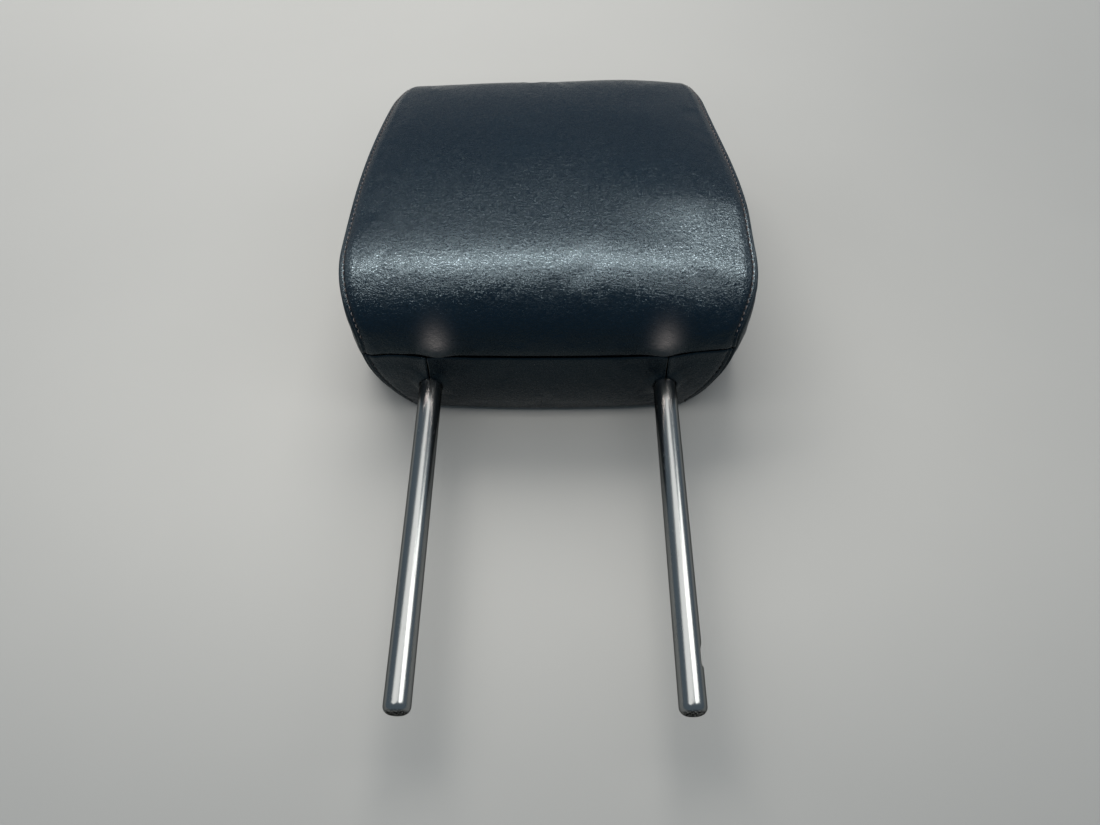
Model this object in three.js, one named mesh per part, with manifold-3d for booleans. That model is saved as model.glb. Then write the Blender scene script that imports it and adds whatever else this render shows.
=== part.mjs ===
// A car headrest: a leather-covered foam pad on a bent chrome tube, lying on its back.
//
// Millimetres. +Z is up and the pad's front faces it, +Y runs from the post tips to the pad's top end
// and +X to the right. The headrest rests on the flat of its back, at Z = 0, and the origin is under
// the middle of its length. Sizes below are measured from the pad's bottom face, where the posts leave it.

import * as THREE from "three";
import { mergeVertices } from "three/addons/utils/BufferGeometryUtils.js";
import Module from "manifold-3d";

const wasm = await Module();
wasm.setup();

// Fits
const clearance = 0.3; // between pieces that touch
const foamClearance = 0.5; // between the leather and the foam

// Pad, seen from the front
const padLength = 256; // bottom face to top end
const padHalfWidth = 123; // middle to side seam, where the pad is widest
const widestAt = 68;
const topTaper = 15; // how much each side draws in towards the top
const taperPower = 1.7;
const bottomCornerLength = 52.5;
const bottomCornerInset = 68; // next to the back
const closureCornerInset = 19.5; // at the closure and in front of it
const bottomCornerPower = 1.7; // roundness of these corners, where 2 is a quarter of an ellipse
const cornerRisePower = 2.2; // how soon above the back they have the closure's inset
const topCornerLength = 44;
const topCornerInset = 18;

// Pad, seen from the side
const bulgeHeight = 104; // the thickest place, above the back
const bulgeAt = 62;
const topEndRadius = 31.5;
const backLift = 21; // the back rises this far towards the top end
const backFlatEnd = 112; // the back is flat from the bottom corner to here
const backCornerRadius = 14;
const bottomSwell = 4; // of the bottom face
const frontSlope = THREE.MathUtils.degToRad(18); // of the front where the top end begins
const backSlope = THREE.MathUtils.degToRad(18); // of the back where the top end stops
const frontPull = 70; // how far the front's slope is held before it bends to the bulge
const backPull = 44; // and the back's before it bends to its flat
const bulgePull = 50; // how far the bulge stays level towards the top end
const bulgePullDown = 36; // and towards the closure
const lipPull = 24; // how far the front's lower edge keeps rising
const lipSwell = 3; // how far it leans out as it rises
const swellPull = 15; // how far the bottom face's swell reaches from each end

// Roundness of the cushion across its width
const edgeDrop = 9; // the seam lies this far under the front's and the back's edge
const endDrop = 3; // and this far inside the top end and the bottom face
const frontCrown = 7; // the middle of the front's thick part stands out this far
const bottomFaceCrown = 4; // and the middle of the bottom face this far
const crownPower = 2.2; // how flat the crown is in its middle
const rollStart = 0.86; // share of the half width where the panel starts to roll over to its seam
const sideSwell = 4.4; // how far a side panel stands out past its seam
const sideSwellLow = 0.9; // and how far at the bottom face, where it is pulled tight
const sideSwellFrom = 46; // its full swell starts this far from the bottom face
const sideSwellPower = 8; // how close to the seam it gets there
const sideMiddleAlong = 0.45; // middle of a side panel, as a share of the length
const sideMiddleUp = 0.4; // and of the bulge's height

// Cover
const coverThickness = 2.4; // grained leather on a thin foam backing
const slitWidth = 1.6; // cut from each post hole to the closure

// Closure across the bottom, two hooked plastic strips behind the edges of the leather
const closureHeight = 59; // above the back
const closureGap = 2.5; // between the leather's two edges
const closureInset = 2; // the front's edge stands this far behind the bottom face
const stripEndGap = 23; // end of the strips to the side seam
const stripThickness = 1.2;
const stripInset = 3.2; // bottom face to the outer strip
const stripGap = 0.9; // side play inside the hooks
const hookLeg = 9; // closure height down to the end of the outer leg
const hookReturn = 4.6; // height of the returning leg
const railTail = 9; // closure height up to the end of the sewn edge
const railSeat = 1.8; // the sewn edge's distance behind the leather

// Posts and the rest of the bent tube
const postDiameter = 14;
const postWall = 2.5;
const postSpacing = 144;
const postExposed = 199; // tip to bottom face
const postHeight = 34; // axis above the back
const tipRounding = 4;
const legBendAt = 40; // the legs turn towards the front here
const legBendRadius = 60;
const crossbarFromTop = 106;
const crossbarRise = 30; // crossbar above the post axes
const cornerRadius = 30;
const ventRadius = 2.5;

// Lock notch on the right post's outer side
const notchFromTip = 27;
const notchLength = 6.6;
const notchDepth = 1.5;

// Steel plate and wire welded to the tube
const plateThickness = 1.5;
const plateLength = 62;
const plateOverhang = 6; // past the axis of each leg
const plateWindow = 26; // middle to the centre of each round end of the window
const plateRim = 12; // window to the plate's long edges
const plateFromCrossbar = 14;
const wireDiameter = 5;
const wireFromLeg = 22; // leg axis to wire axis
const wireFromTop = 40;
const wireTail = 20; // how far the wire reaches past the crossbar
const wireCornerRadius = 22;

// Fineness of the facets
const bezierSteps = 9;
const acrossSteps = [-1, -0.985, -0.95, -0.9, -0.8, -0.56, -0.28, 0, 0.28, 0.56, 0.8, 0.9, 0.95, 0.985, 1];
const sideRings = [1, 0.94, 0.8, 0.5];
const tubeSides = 20;
const boreSides = 12;
const bendSteps = 7;
const tipSteps = 4;
const stripStep = 15; // length of a facet along the closure strips

const postRadius = postDiameter / 2;
const legX = postSpacing / 2;

const leather = new THREE.MeshStandardMaterial({ color: 0x1b2026, roughness: 0.42, metalness: 0 });
const sideLeather = new THREE.MeshStandardMaterial({ color: 0x181c21, roughness: 0.5, metalness: 0 });
const stripPlastic = new THREE.MeshStandardMaterial({ color: 0x0e0f11, roughness: 0.45, metalness: 0 });
const foam = new THREE.MeshStandardMaterial({ color: 0xcdbf8e, roughness: 0.95, metalness: 0 });
const chrome = new THREE.MeshStandardMaterial({ color: 0xd5d9dc, roughness: 0.12, metalness: 1 });
const steel = new THREE.MeshStandardMaterial({ color: 0x6f7376, roughness: 0.5, metalness: 1 });

function triangles(positions, index) {
  const geometry = new THREE.BufferGeometry();
  geometry.setAttribute("position", new THREE.Float32BufferAttribute(positions, 3));
  geometry.setIndex(index);
  geometry.computeVertexNormals();
  return geometry;
}

function solidOf(geometry) {
  const bare = geometry.clone();
  bare.deleteAttribute("normal");
  bare.deleteAttribute("uv");
  const merged = mergeVertices(bare, 1e-4);
  return new wasm.Manifold(
    new wasm.Mesh({
      numProp: 3,
      vertProperties: new Float32Array(merged.attributes.position.array),
      triVerts: new Uint32Array(merged.index.array),
    }),
  );
}

function geometryOf(solid) {
  const { vertProperties, triVerts } = solid.getMesh();
  return triangles(Array.from(vertProperties), Array.from(triVerts));
}

function boxBetween(low, high) {
  const size = new THREE.Vector3().subVectors(high, low);
  const middle = new THREE.Vector3().addVectors(low, high).multiplyScalar(0.5);
  return new THREE.BoxGeometry(size.x, size.y, size.z).translate(middle.x, middle.y, middle.z);
}

// The pad's outline from the side, as a path in the plane of Y and Z. It starts at the front's lower edge,
// runs over the front, round the top end, along the back and up the bottom face to the closure.
function sideOutline() {
  const topY = padLength - topEndRadius;
  const topZ = backLift + topEndRadius;
  const frontEnd = new THREE.Vector2(
    topY + topEndRadius * Math.sin(frontSlope),
    topZ + topEndRadius * Math.cos(frontSlope),
  );
  const backEnd = new THREE.Vector2(
    topY + topEndRadius * Math.sin(backSlope),
    topZ - topEndRadius * Math.cos(backSlope),
  );
  const cornerZ = backCornerRadius;
  const flapEnd = closureHeight - closureGap / 2;
  const outline = new THREE.Path();
  outline.moveTo(closureInset, closureHeight + closureGap / 2);
  outline.bezierCurveTo(
    closureInset - lipSwell,
    closureHeight + lipPull,
    bulgeAt - bulgePullDown,
    bulgeHeight,
    bulgeAt,
    bulgeHeight,
  );
  outline.bezierCurveTo(
    bulgeAt + bulgePull,
    bulgeHeight,
    frontEnd.x - frontPull * Math.cos(frontSlope),
    frontEnd.y + frontPull * Math.sin(frontSlope),
    frontEnd.x,
    frontEnd.y,
  );
  outline.absarc(topY, topZ, topEndRadius, Math.PI / 2 - frontSlope, 0, true);
  outline.absarc(topY, topZ, topEndRadius, 0, backSlope - Math.PI / 2, true);
  outline.bezierCurveTo(
    backEnd.x - backPull * Math.cos(backSlope),
    backEnd.y - backPull * Math.sin(backSlope),
    backFlatEnd + backPull,
    0,
    backFlatEnd,
    0,
  );
  outline.lineTo(bottomCornerLength, 0);
  outline.lineTo(cornerZ, 0);
  outline.absarc(cornerZ, cornerZ, cornerZ, -Math.PI / 2, -Math.PI, true);
  outline.bezierCurveTo(-bottomSwell, cornerZ + swellPull, -bottomSwell, flapEnd - swellPull, 0, flapEnd);
  const steps = [bezierSteps, bezierSteps, 3, 4, 5, 4, 4, 4, 7];
  const pieces = outline.curves.filter((curve) => curve.getLength() > 1e-6);
  const points = pieces.flatMap((curve, i) => curve.getPoints(steps[i]).slice(0, -1));
  points.push(pieces.at(-1).getPoint(1));
  return points;
}

// Half the width of the pad at a distance from the bottom face and a height: it draws in towards the top,
// and both ends are rounded. The bottom corners draw in more at the back than at the closure.
function halfWidthAt(y, z) {
  const along = Math.max(0, (y - widestAt) / (padLength - widestAt));
  const towardsClosure = 1 - (1 - THREE.MathUtils.clamp(z / closureHeight, 0, 1)) ** cornerRisePower;
  const cornerInset = THREE.MathUtils.lerp(bottomCornerInset, closureCornerInset, towardsClosure);
  const bottom = THREE.MathUtils.clamp(1 - y / bottomCornerLength, 0, 1);
  const top = THREE.MathUtils.clamp((y - padLength + topCornerLength) / topCornerLength, 0, 1);
  return (
    padHalfWidth -
    topTaper * along ** taperPower -
    cornerInset * (1 - (1 - bottom ** bottomCornerPower) ** (1 / bottomCornerPower)) -
    topCornerInset * (1 - Math.sqrt(1 - top * top))
  );
}

// One station for each point of the outline: the point, the way out of the pad there, and the seam's place.
function padStations() {
  const outline = sideOutline();
  return outline.map((point, i) => {
    const before = outline.at(i - 1);
    const after = outline[(i + 1) % outline.length];
    const along = new THREE.Vector2().subVectors(after, before).normalize();
    const out = new THREE.Vector2(-along.y, along.x);
    const thick = THREE.MathUtils.clamp((point.y - closureHeight) / (bulgeHeight - closureHeight), 0, 1);
    const crown = frontCrown * thick * Math.max(0, out.y) + bottomFaceCrown * Math.max(0, -out.x);
    const drop = edgeDrop * out.y ** 2 + endDrop * out.x ** 2;
    const seam = point.clone().addScaledVector(out, -(crown + drop));
    return { point, out, crown, drop, seam, halfWidth: halfWidthAt(seam.x, seam.y) };
  });
}

// How far a crowned face sinks at a share of its half width.
function crownSink(crown, share) {
  return crown * Math.abs(share) ** crownPower;
}

// The centre panel's surface: at a share of the half width it sinks from the outline by a soft crown, and
// past rollStart by a quarter round down to the seam.
function panelPoint(station, share) {
  const roll = Math.max(0, (Math.abs(share) - rollStart) / (1 - rollStart));
  const sink = crownSink(station.crown, share) + station.drop * (1 - Math.sqrt(1 - roll * roll));
  const place = station.point.clone().addScaledVector(station.out, -sink);
  return [share * station.halfWidth, place.x, place.y];
}

// A side panel's surface: rings shrink from the seam to the panel's middle and swell out sideways.
function sidePoint(station, ring, side) {
  const middle = new THREE.Vector2(padLength * sideMiddleAlong, bulgeHeight * sideMiddleUp);
  const place = middle.clone().lerp(station.seam, ring);
  const fullness = THREE.MathUtils.smoothstep(place.x, 0, sideSwellFrom);
  const swell = THREE.MathUtils.lerp(sideSwellLow, sideSwell, fullness) * (1 - ring ** sideSwellPower);
  const width = ring === 1 ? station.halfWidth : halfWidthAt(place.x, place.y) + swell;
  return [side * width, place.x, place.y];
}

// The whole pad as one closed surface. Vertices are numbered strip by strip, then the rings of each side.
function padSurface() {
  const stations = padStations();
  const count = stations.length;
  const across = acrossSteps.length;
  const positions = [];
  const index = [];
  for (const station of stations) {
    for (const share of acrossSteps) positions.push(...panelPoint(station, share));
  }
  const stripVertex = (i, j) => (i % count) * across + j;
  const strip = [];
  for (let i = 0; i < count; i++) {
    for (let j = 0; j + 1 < across; j++) {
      const [a, b] = [stripVertex(i, j), stripVertex(i, j + 1)];
      const [c, d] = [stripVertex(i + 1, j + 1), stripVertex(i + 1, j)];
      strip.push({ station: i, faces: [a, b, c, a, c, d] });
    }
  }
  index.push(...strip.flatMap((cell) => cell.faces));
  const sides = [-1, 1].map((side) => {
    const rings = sideRings.map((ring, k) =>
      stations.map((station, i) => {
        if (k === 0) return stripVertex(i, side < 0 ? 0 : across - 1);
        positions.push(...sidePoint(station, ring, side));
        return positions.length / 3 - 1;
      }),
    );
    positions.push(...sidePoint(stations[0], 0, side));
    const centre = positions.length / 3 - 1;
    const faces = [];
    const push = (a, b, c) => faces.push(...(side > 0 ? [a, b, c] : [a, c, b]));
    for (let i = 0; i < count; i++) {
      const next = (i + 1) % count;
      for (let k = 0; k + 1 < rings.length; k++) {
        push(rings[k][i], rings[k + 1][i], rings[k + 1][next]);
        push(rings[k][i], rings[k + 1][next], rings[k][next]);
      }
      push(rings.at(-1)[i], centre, rings.at(-1)[next]);
    }
    index.push(...faces);
    return { faces, seam: rings[0], nextRing: rings[1] };
  });
  const geometry = triangles(positions, index);
  return { positions, normals: geometry.attributes.normal.array, index, strip, sides, count };
}

// The surface moved inwards along its own normals.
function inset(surface, depth) {
  return surface.positions.map((value, k) => value - depth * surface.normals[k]);
}

// Each vertex in the map moves by the clearance towards its neighbour.
function drawBack(positions, neighbours) {
  const moved = [...neighbours].map(([vertex, neighbour]) => {
    const from = new THREE.Vector3().fromArray(positions, 3 * vertex);
    const towards = new THREE.Vector3().fromArray(positions, 3 * neighbour).sub(from);
    return [vertex, from.addScaledVector(towards.normalize(), clearance)];
  });
  for (const [vertex, place] of moved) place.toArray(positions, 3 * vertex);
}

// A leather panel: some faces of the pad's surface, the same faces one thickness further in, and a wall
// along the free edges between them. Its seam is drawn back so that panels don't touch.
function panelShell(surface, faces, neighbours) {
  const outer = surface.positions.slice();
  const inner = inset(surface, coverThickness);
  drawBack(outer, neighbours);
  drawBack(inner, neighbours);
  const directed = new Map();
  for (let f = 0; f < faces.length; f += 3) {
    for (let e = 0; e < 3; e++) {
      const [a, b] = [faces[f + e], faces[f + ((e + 1) % 3)]];
      directed.set(`${a},${b}`, [a, b]);
    }
  }
  const rim = [...directed.values()].filter(([a, b]) => !directed.has(`${b},${a}`));
  const offset = outer.length / 3;
  const index = [...faces];
  for (let f = 0; f < faces.length; f += 3) {
    index.push(faces[f] + offset, faces[f + 2] + offset, faces[f + 1] + offset);
  }
  for (const [a, b] of rim) index.push(b, a, a + offset, b, a + offset, b + offset);
  const used = [...new Set(index)];
  const renumber = new Map(used.map((vertex, k) => [vertex, k]));
  const all = [...outer, ...inner];
  const positions = used.flatMap((v) => all.slice(3 * v, 3 * v + 3));
  return triangles(positions, index.map((vertex) => renumber.get(vertex)));
}

function centrePanel(surface) {
  const open = surface.strip.filter((cell) => cell.station !== surface.count - 1);
  const faces = open.flatMap((cell) => cell.faces);
  const [left, right] = surface.sides.map((side) => side.seam);
  return panelShell(surface, faces, [
    ...left.map((vertex) => [vertex, vertex + 1]),
    ...right.map((vertex) => [vertex, vertex - 1]),
  ]);
}

function sidePanel(surface, side) {
  return panelShell(surface, side.faces, side.seam.map((vertex, i) => [vertex, side.nextRing[i]]));
}

// A path of straight runs joined by bends, given by its corners and one bend radius for each inner corner.
function bentPath(corners, radii) {
  const points = [corners[0]];
  for (let k = 1; k + 1 < corners.length; k++) {
    const back = new THREE.Vector3().subVectors(corners[k - 1], corners[k]).normalize();
    const ahead = new THREE.Vector3().subVectors(corners[k + 1], corners[k]).normalize();
    const reach = radii[k - 1] / Math.tan(back.angleTo(ahead) / 2);
    const start = corners[k].clone().addScaledVector(back, reach);
    const end = corners[k].clone().addScaledVector(ahead, reach);
    points.push(...new THREE.QuadraticBezierCurve3(start, corners[k], end).getPoints(bendSteps));
  }
  points.push(corners.at(-1));
  return points;
}

// A round rod along a list of points, with a radius at each, closed by flat ends.
function roundRod(points, radii, sides) {
  const positions = [];
  const index = [];
  const normal = new THREE.Vector3(0, 0, 1);
  points.forEach((point, i) => {
    const ahead = points[Math.min(i + 1, points.length - 1)];
    const behind = points[Math.max(i - 1, 0)];
    const tangent = new THREE.Vector3().subVectors(ahead, behind).normalize();
    normal.addScaledVector(tangent, -normal.dot(tangent)).normalize();
    const binormal = new THREE.Vector3().crossVectors(tangent, normal);
    for (let k = 0; k < sides; k++) {
      const angle = (2 * Math.PI * k) / sides;
      const spot = point
        .clone()
        .addScaledVector(normal, radii[i] * Math.cos(angle))
        .addScaledVector(binormal, radii[i] * Math.sin(angle));
      positions.push(spot.x, spot.y, spot.z);
    }
    if (i === 0) return;
    for (let k = 0; k < sides; k++) {
      const [a, b] = [(i - 1) * sides + k, (i - 1) * sides + ((k + 1) % sides)];
      index.push(a, b, b + sides, a, b + sides, a + sides);
    }
  });
  const last = positions.length / 3 - sides;
  for (let k = 1; k + 1 < sides; k++) {
    index.push(0, k + 1, k);
    index.push(last, last + k, last + k + 1);
  }
  return triangles(positions, index);
}

// The tube's route: up one post, round the crossbar and down the other.
function tubeCorners(tipTrim) {
  const tipY = -postExposed + tipTrim;
  const crossbarY = padLength - crossbarFromTop;
  const left = [
    new THREE.Vector3(-legX, tipY, postHeight),
    new THREE.Vector3(-legX, legBendAt, postHeight),
    new THREE.Vector3(-legX, crossbarY, postHeight + crossbarRise),
  ];
  const right = left.map((corner) => corner.clone().setX(legX)).reverse();
  return [...left, ...right];
}

const tubeBends = [legBendRadius, cornerRadius, cornerRadius, legBendRadius];

// The tube with rounded tips, or the room that it needs when margin is added.
function tubeOuter(margin) {
  const path = bentPath(tubeCorners(tipRounding), tubeBends);
  const radii = path.map(() => postRadius + margin);
  const tip = [];
  for (let k = 0; k < tipSteps; k++) {
    const angle = (Math.PI / 2) * (k / tipSteps);
    tip.push({
      back: tipRounding * Math.cos(angle) + margin,
      radius: postRadius + margin - tipRounding * (1 - Math.sin(angle)),
    });
  }
  const tipPoints = (x) =>
    tip.map(({ back }) => new THREE.Vector3(x, tipRounding - postExposed - back, postHeight));
  const tipRadii = tip.map(({ radius }) => radius);
  const points = [...tipPoints(-legX), ...path, ...tipPoints(legX).reverse()];
  return roundRod(points, [...tipRadii, ...radii, ...tipRadii.toReversed()], tubeSides);
}

function postTube() {
  const bore = bentPath(tubeCorners(tipRounding), tubeBends);
  const boreRod = roundRod(bore, bore.map(() => postRadius - postWall), boreSides);
  const vent = new THREE.CylinderGeometry(ventRadius, ventRadius, 2 * postRadius, boreSides)
    .rotateX(Math.PI / 2)
    .translate(0, padLength - crossbarFromTop, postHeight + crossbarRise - postRadius);
  const notchBack = legX + postRadius - notchDepth;
  const notchMiddle = -postExposed + notchFromTip;
  const notch = boxBetween(
    new THREE.Vector3(notchBack, notchMiddle - notchLength / 2, postHeight - postRadius),
    new THREE.Vector3(notchBack + postRadius, notchMiddle + notchLength / 2, postHeight + postRadius),
  );
  return solidOf(tubeOuter(0)).subtract(solidOf(boreRod)).subtract(solidOf(vent)).subtract(solidOf(notch));
}

// The slope of the legs between their bend and the crossbar, and a frame that lies on it.
const legRun = padLength - crossbarFromTop - legBendAt;
const legSlope = Math.atan2(crossbarRise, legRun);

// A flat plate with a rounded window, across the front of both legs.
function supportPlate(margin) {
  const halfWidth = legX + plateOverhang + margin;
  const halfLength = plateLength / 2 + margin;
  const shape = new THREE.Shape();
  shape.moveTo(-halfWidth, -halfLength);
  shape.lineTo(halfWidth, -halfLength);
  shape.lineTo(halfWidth, halfLength);
  shape.lineTo(-halfWidth, halfLength);
  shape.closePath();
  const windowRadius = plateLength / 2 - plateRim - margin;
  const window = new THREE.Path();
  window.absarc(plateWindow, 0, windowRadius, -Math.PI / 2, Math.PI / 2, false);
  window.absarc(-plateWindow, 0, windowRadius, Math.PI / 2, (3 * Math.PI) / 2, false);
  window.closePath();
  shape.holes.push(window);
  const depth = plateThickness + 2 * margin;
  const reach = Math.hypot(legRun, crossbarRise) - plateFromCrossbar - plateLength / 2;
  return new THREE.ExtrudeGeometry(shape, { depth, bevelEnabled: false, curveSegments: 6 })
    .translate(0, reach, postRadius + clearance - margin)
    .rotateX(legSlope)
    .translate(0, legBendAt, postHeight);
}

// A wire hoop under the crossbar that holds up the foam of the top end.
function foamWire(margin) {
  const wireX = legX - wireFromLeg;
  const height = postHeight + crossbarRise - postRadius - clearance - wireDiameter / 2;
  const startY = padLength - crossbarFromTop - wireTail - margin;
  const endY = padLength - wireFromTop;
  const corners = [
    new THREE.Vector3(-wireX, startY, height),
    new THREE.Vector3(-wireX, endY, height),
    new THREE.Vector3(wireX, endY, height),
    new THREE.Vector3(wireX, startY, height),
  ];
  const path = bentPath(corners, [wireCornerRadius, wireCornerRadius]);
  return roundRod(path, path.map(() => wireDiameter / 2 + margin), 10);
}

const closureHalfWidth = halfWidthAt(endDrop + bottomFaceCrown, closureHeight);
const stripHalfLength = closureHalfWidth - stripEndGap;

// A strip with one cross-section, from one X to another, bent with the crown of the bottom face. The
// points are [distance in, height].
function strip(points, fromX, toX) {
  const shape = new THREE.Shape(points.map(([y, z]) => new THREE.Vector2(y, z)));
  const steps = Math.ceil((toX - fromX) / stripStep);
  const geometry = new THREE.ExtrudeGeometry(shape, { depth: toX - fromX, steps, bevelEnabled: false })
    .rotateX(Math.PI / 2)
    .rotateZ(Math.PI / 2)
    .translate(fromX, 0, 0);
  const place = geometry.attributes.position;
  for (let k = 0; k < place.count; k++) {
    place.setY(k, place.getY(k) + crownSink(bottomFaceCrown, place.getX(k) / closureHalfWidth));
  }
  return geometry;
}

const hookTop = closureHeight - closureGap / 2;
const hookBackY = stripInset + 3 * stripThickness + 2 * stripGap;
const hookReturnEnd = hookTop - hookReturn;
const railOuterY = stripInset + stripThickness + stripGap;
const railBottom = hookReturnEnd - clearance - stripThickness;
const railBackY = hookBackY + stripGap + stripThickness;
const railShelf = closureHeight + closureGap / 2;
const railTailY = closureInset + coverThickness + railSeat;

// The flap's strip opens downwards, in an upside-down U.
function hookStrip(fromX, toX) {
  const t = stripThickness;
  const points = [
    [stripInset, closureHeight - hookLeg],
    [stripInset + t, closureHeight - hookLeg],
    [stripInset + t, hookTop - t],
    [hookBackY - t, hookTop - t],
    [hookBackY - t, hookReturnEnd],
    [hookBackY, hookReturnEnd],
    [hookBackY, hookTop],
    [stripInset, hookTop],
  ];
  return strip(points, fromX, toX);
}

// The front's strip catches in it from below and runs up behind the front's lower edge.
function railStrip() {
  const t = stripThickness;
  const points = [
    [railOuterY, railBottom],
    [railBackY, railBottom],
    [railBackY, railShelf + t],
    [railTailY + t, railShelf + t],
    [railTailY + t, closureHeight + railTail],
    [railTailY, closureHeight + railTail],
    [railTailY, railShelf],
    [railBackY - t, railShelf],
    [railBackY - t, railBottom + t],
    [railOuterY + t, railBottom + t],
    [railOuterY + t, hookTop - t - clearance],
    [railOuterY, hookTop - t - clearance],
  ];
  return strip(points, -stripHalfLength, stripHalfLength);
}

// The room in the foam for both strips, open to the bottom face.
function closurePocket() {
  const [front, back] = [-2 * bottomSwell, railBackY + clearance];
  const [low, high] = [closureHeight - hookLeg - clearance, closureHeight + railTail + clearance];
  const points = [
    [front, low],
    [back, low],
    [back, high],
    [front, high],
  ];
  return strip(points, -stripHalfLength - clearance, stripHalfLength + clearance);
}

function postSlit(x) {
  return boxBetween(
    new THREE.Vector3(x - slitWidth / 2, -2 * bottomSwell - clearance, postHeight),
    new THREE.Vector3(x + slitWidth / 2, coverThickness + closureInset + clearance, closureHeight),
  );
}

const surface = padSurface();
const tubeRoom = solidOf(tubeOuter(clearance));

const foamSolid = [supportPlate(clearance), foamWire(clearance), closurePocket()].reduce(
  (solid, room) => solid.subtract(solidOf(room)),
  solidOf(triangles(inset(surface, coverThickness + foamClearance), surface.index)).subtract(tubeRoom),
);
const centreSolid = [-legX, legX].reduce(
  (solid, x) => solid.subtract(solidOf(postSlit(x))),
  solidOf(centrePanel(surface)).subtract(tubeRoom),
);

const headrest = new THREE.Group();
headrest.position.y = (postExposed - padLength) / 2;

function addPiece(name, geometry, material) {
  const mesh = new THREE.Mesh(geometry, material);
  mesh.name = name;
  headrest.add(mesh);
}

const slitEdge = legX + slitWidth / 2 + clearance;
const slitInner = legX - slitWidth / 2 - clearance;

addPiece("cover_centre_panel", geometryOf(centreSolid), leather);
addPiece("cover_left_panel", sidePanel(surface, surface.sides[0]), sideLeather);
addPiece("cover_right_panel", sidePanel(surface, surface.sides[1]), sideLeather);
addPiece("closure_hook_left", hookStrip(-stripHalfLength, -slitEdge), stripPlastic);
addPiece("closure_hook_middle", hookStrip(-slitInner, slitInner), stripPlastic);
addPiece("closure_hook_right", hookStrip(slitEdge, stripHalfLength), stripPlastic);
addPiece("closure_rail", railStrip(), stripPlastic);
addPiece("foam_core", geometryOf(foamSolid), foam);
addPiece("post_tube", geometryOf(postTube()), chrome);
addPiece("support_plate", supportPlate(0), steel);
addPiece("foam_wire", foamWire(0), steel);

export default headrest;
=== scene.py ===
"""A car headrest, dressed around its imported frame: a pad in black grained leather on two chromed posts.

The pad is one soft closed surface. Its outline from the side is a path of curves and arcs in Y and Z. At
each place along the path the leather is carried across X and sinks, by a soft crown and a quarter round, to
a seam on each side. The side panels run from there to their own middles. A cloth simulation adds how the
leather draws over its foam, and seams, stitches and turned edges are laid on after it. Everything is in
metres, in the frame's axes: +Z is up out of the pad's front, and +Y runs from the post tips to the top end.
"""

import logging
from collections.abc import Callable
from dataclasses import dataclass, field
from enum import Enum

import bmesh
import bpy
import numpy as np
from mathutils import Matrix, Vector


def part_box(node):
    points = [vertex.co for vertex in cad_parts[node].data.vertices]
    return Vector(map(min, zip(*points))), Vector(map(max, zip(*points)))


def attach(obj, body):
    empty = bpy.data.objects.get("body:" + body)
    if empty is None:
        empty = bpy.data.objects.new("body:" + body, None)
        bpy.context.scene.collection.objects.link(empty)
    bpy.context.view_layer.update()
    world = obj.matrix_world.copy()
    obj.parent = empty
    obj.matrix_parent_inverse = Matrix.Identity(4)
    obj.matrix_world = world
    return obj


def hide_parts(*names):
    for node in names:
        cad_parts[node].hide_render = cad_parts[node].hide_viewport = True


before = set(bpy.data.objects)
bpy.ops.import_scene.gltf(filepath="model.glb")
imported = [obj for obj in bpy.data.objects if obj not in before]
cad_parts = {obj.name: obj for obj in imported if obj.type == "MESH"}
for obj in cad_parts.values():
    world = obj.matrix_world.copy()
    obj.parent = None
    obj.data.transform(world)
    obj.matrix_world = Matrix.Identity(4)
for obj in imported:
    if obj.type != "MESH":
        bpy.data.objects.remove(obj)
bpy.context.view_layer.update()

Array = np.ndarray
Socket = bpy.types.NodeSocket
Span = tuple[float, float]
Colour = tuple[float, float, float, float]
log = logging.getLogger("headrest")


class Slot(Enum):
    """The record's material slots, passed along with new pieces."""

    COVER = "cover_leather"
    SIDE = "side_leather"
    FOAM = "foam"
    CHROME = "post_chrome"


class Side(Enum):
    """The two sides of the pad, by the sign of X."""

    LEFT = -1
    RIGHT = 1


# Numbers and surfaces


def unit(vectors: Array) -> Array:
    """Vectors at length one.

    Args:
        vectors: an array whose last axis holds the coordinates.

    Returns:
        The same array, each vector divided by its length.
    """
    length = np.linalg.norm(vectors, axis=-1, keepdims=True)
    return vectors / np.maximum(length, 1e-12)


def bump(distance: Array, width: float) -> Array:
    """A bell: the exponential of minus the square of the distance over the width, so 1 in its middle."""
    return np.exp(-((distance / width) ** 2))


def smooth_step(value: Array, low: float, high: float) -> Array:
    """A soft step.

    Args:
        value: where it is read.
        low: up to here the step is 0.
        high: from here on it is 1.

    Returns:
        Three times the square of the share less twice its cube, where the share runs from 0 to 1.
    """
    share = np.clip((value - low) / (high - low), 0.0, 1.0)
    return share * share * (3.0 - 2.0 * share)


def bell_weights(reach: int, step: float, width: float) -> Array:
    """The weights of a moving average, which add up to 1.

    Args:
        reach: how many places it takes in on each side.
        step: how far apart they lie.
        width: the bell's width.

    Returns:
        The bell at each place, divided by their sum.
    """
    weights = bump(np.arange(-reach, reach + 1) * step, width)
    return weights / weights.sum()


def run_length(points: Array) -> Array:
    """How far each point lies from the first one of its row.

    Args:
        points: places, one after the other along the last axis but one.

    Returns:
        The running sum of the steps' lengths, from 0.
    """
    steps = np.linalg.norm(np.diff(points, axis=-2), axis=-1)
    return np.concatenate([np.zeros((*steps.shape[:-1], 1)), np.cumsum(steps, axis=-1)], axis=-1)


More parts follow.
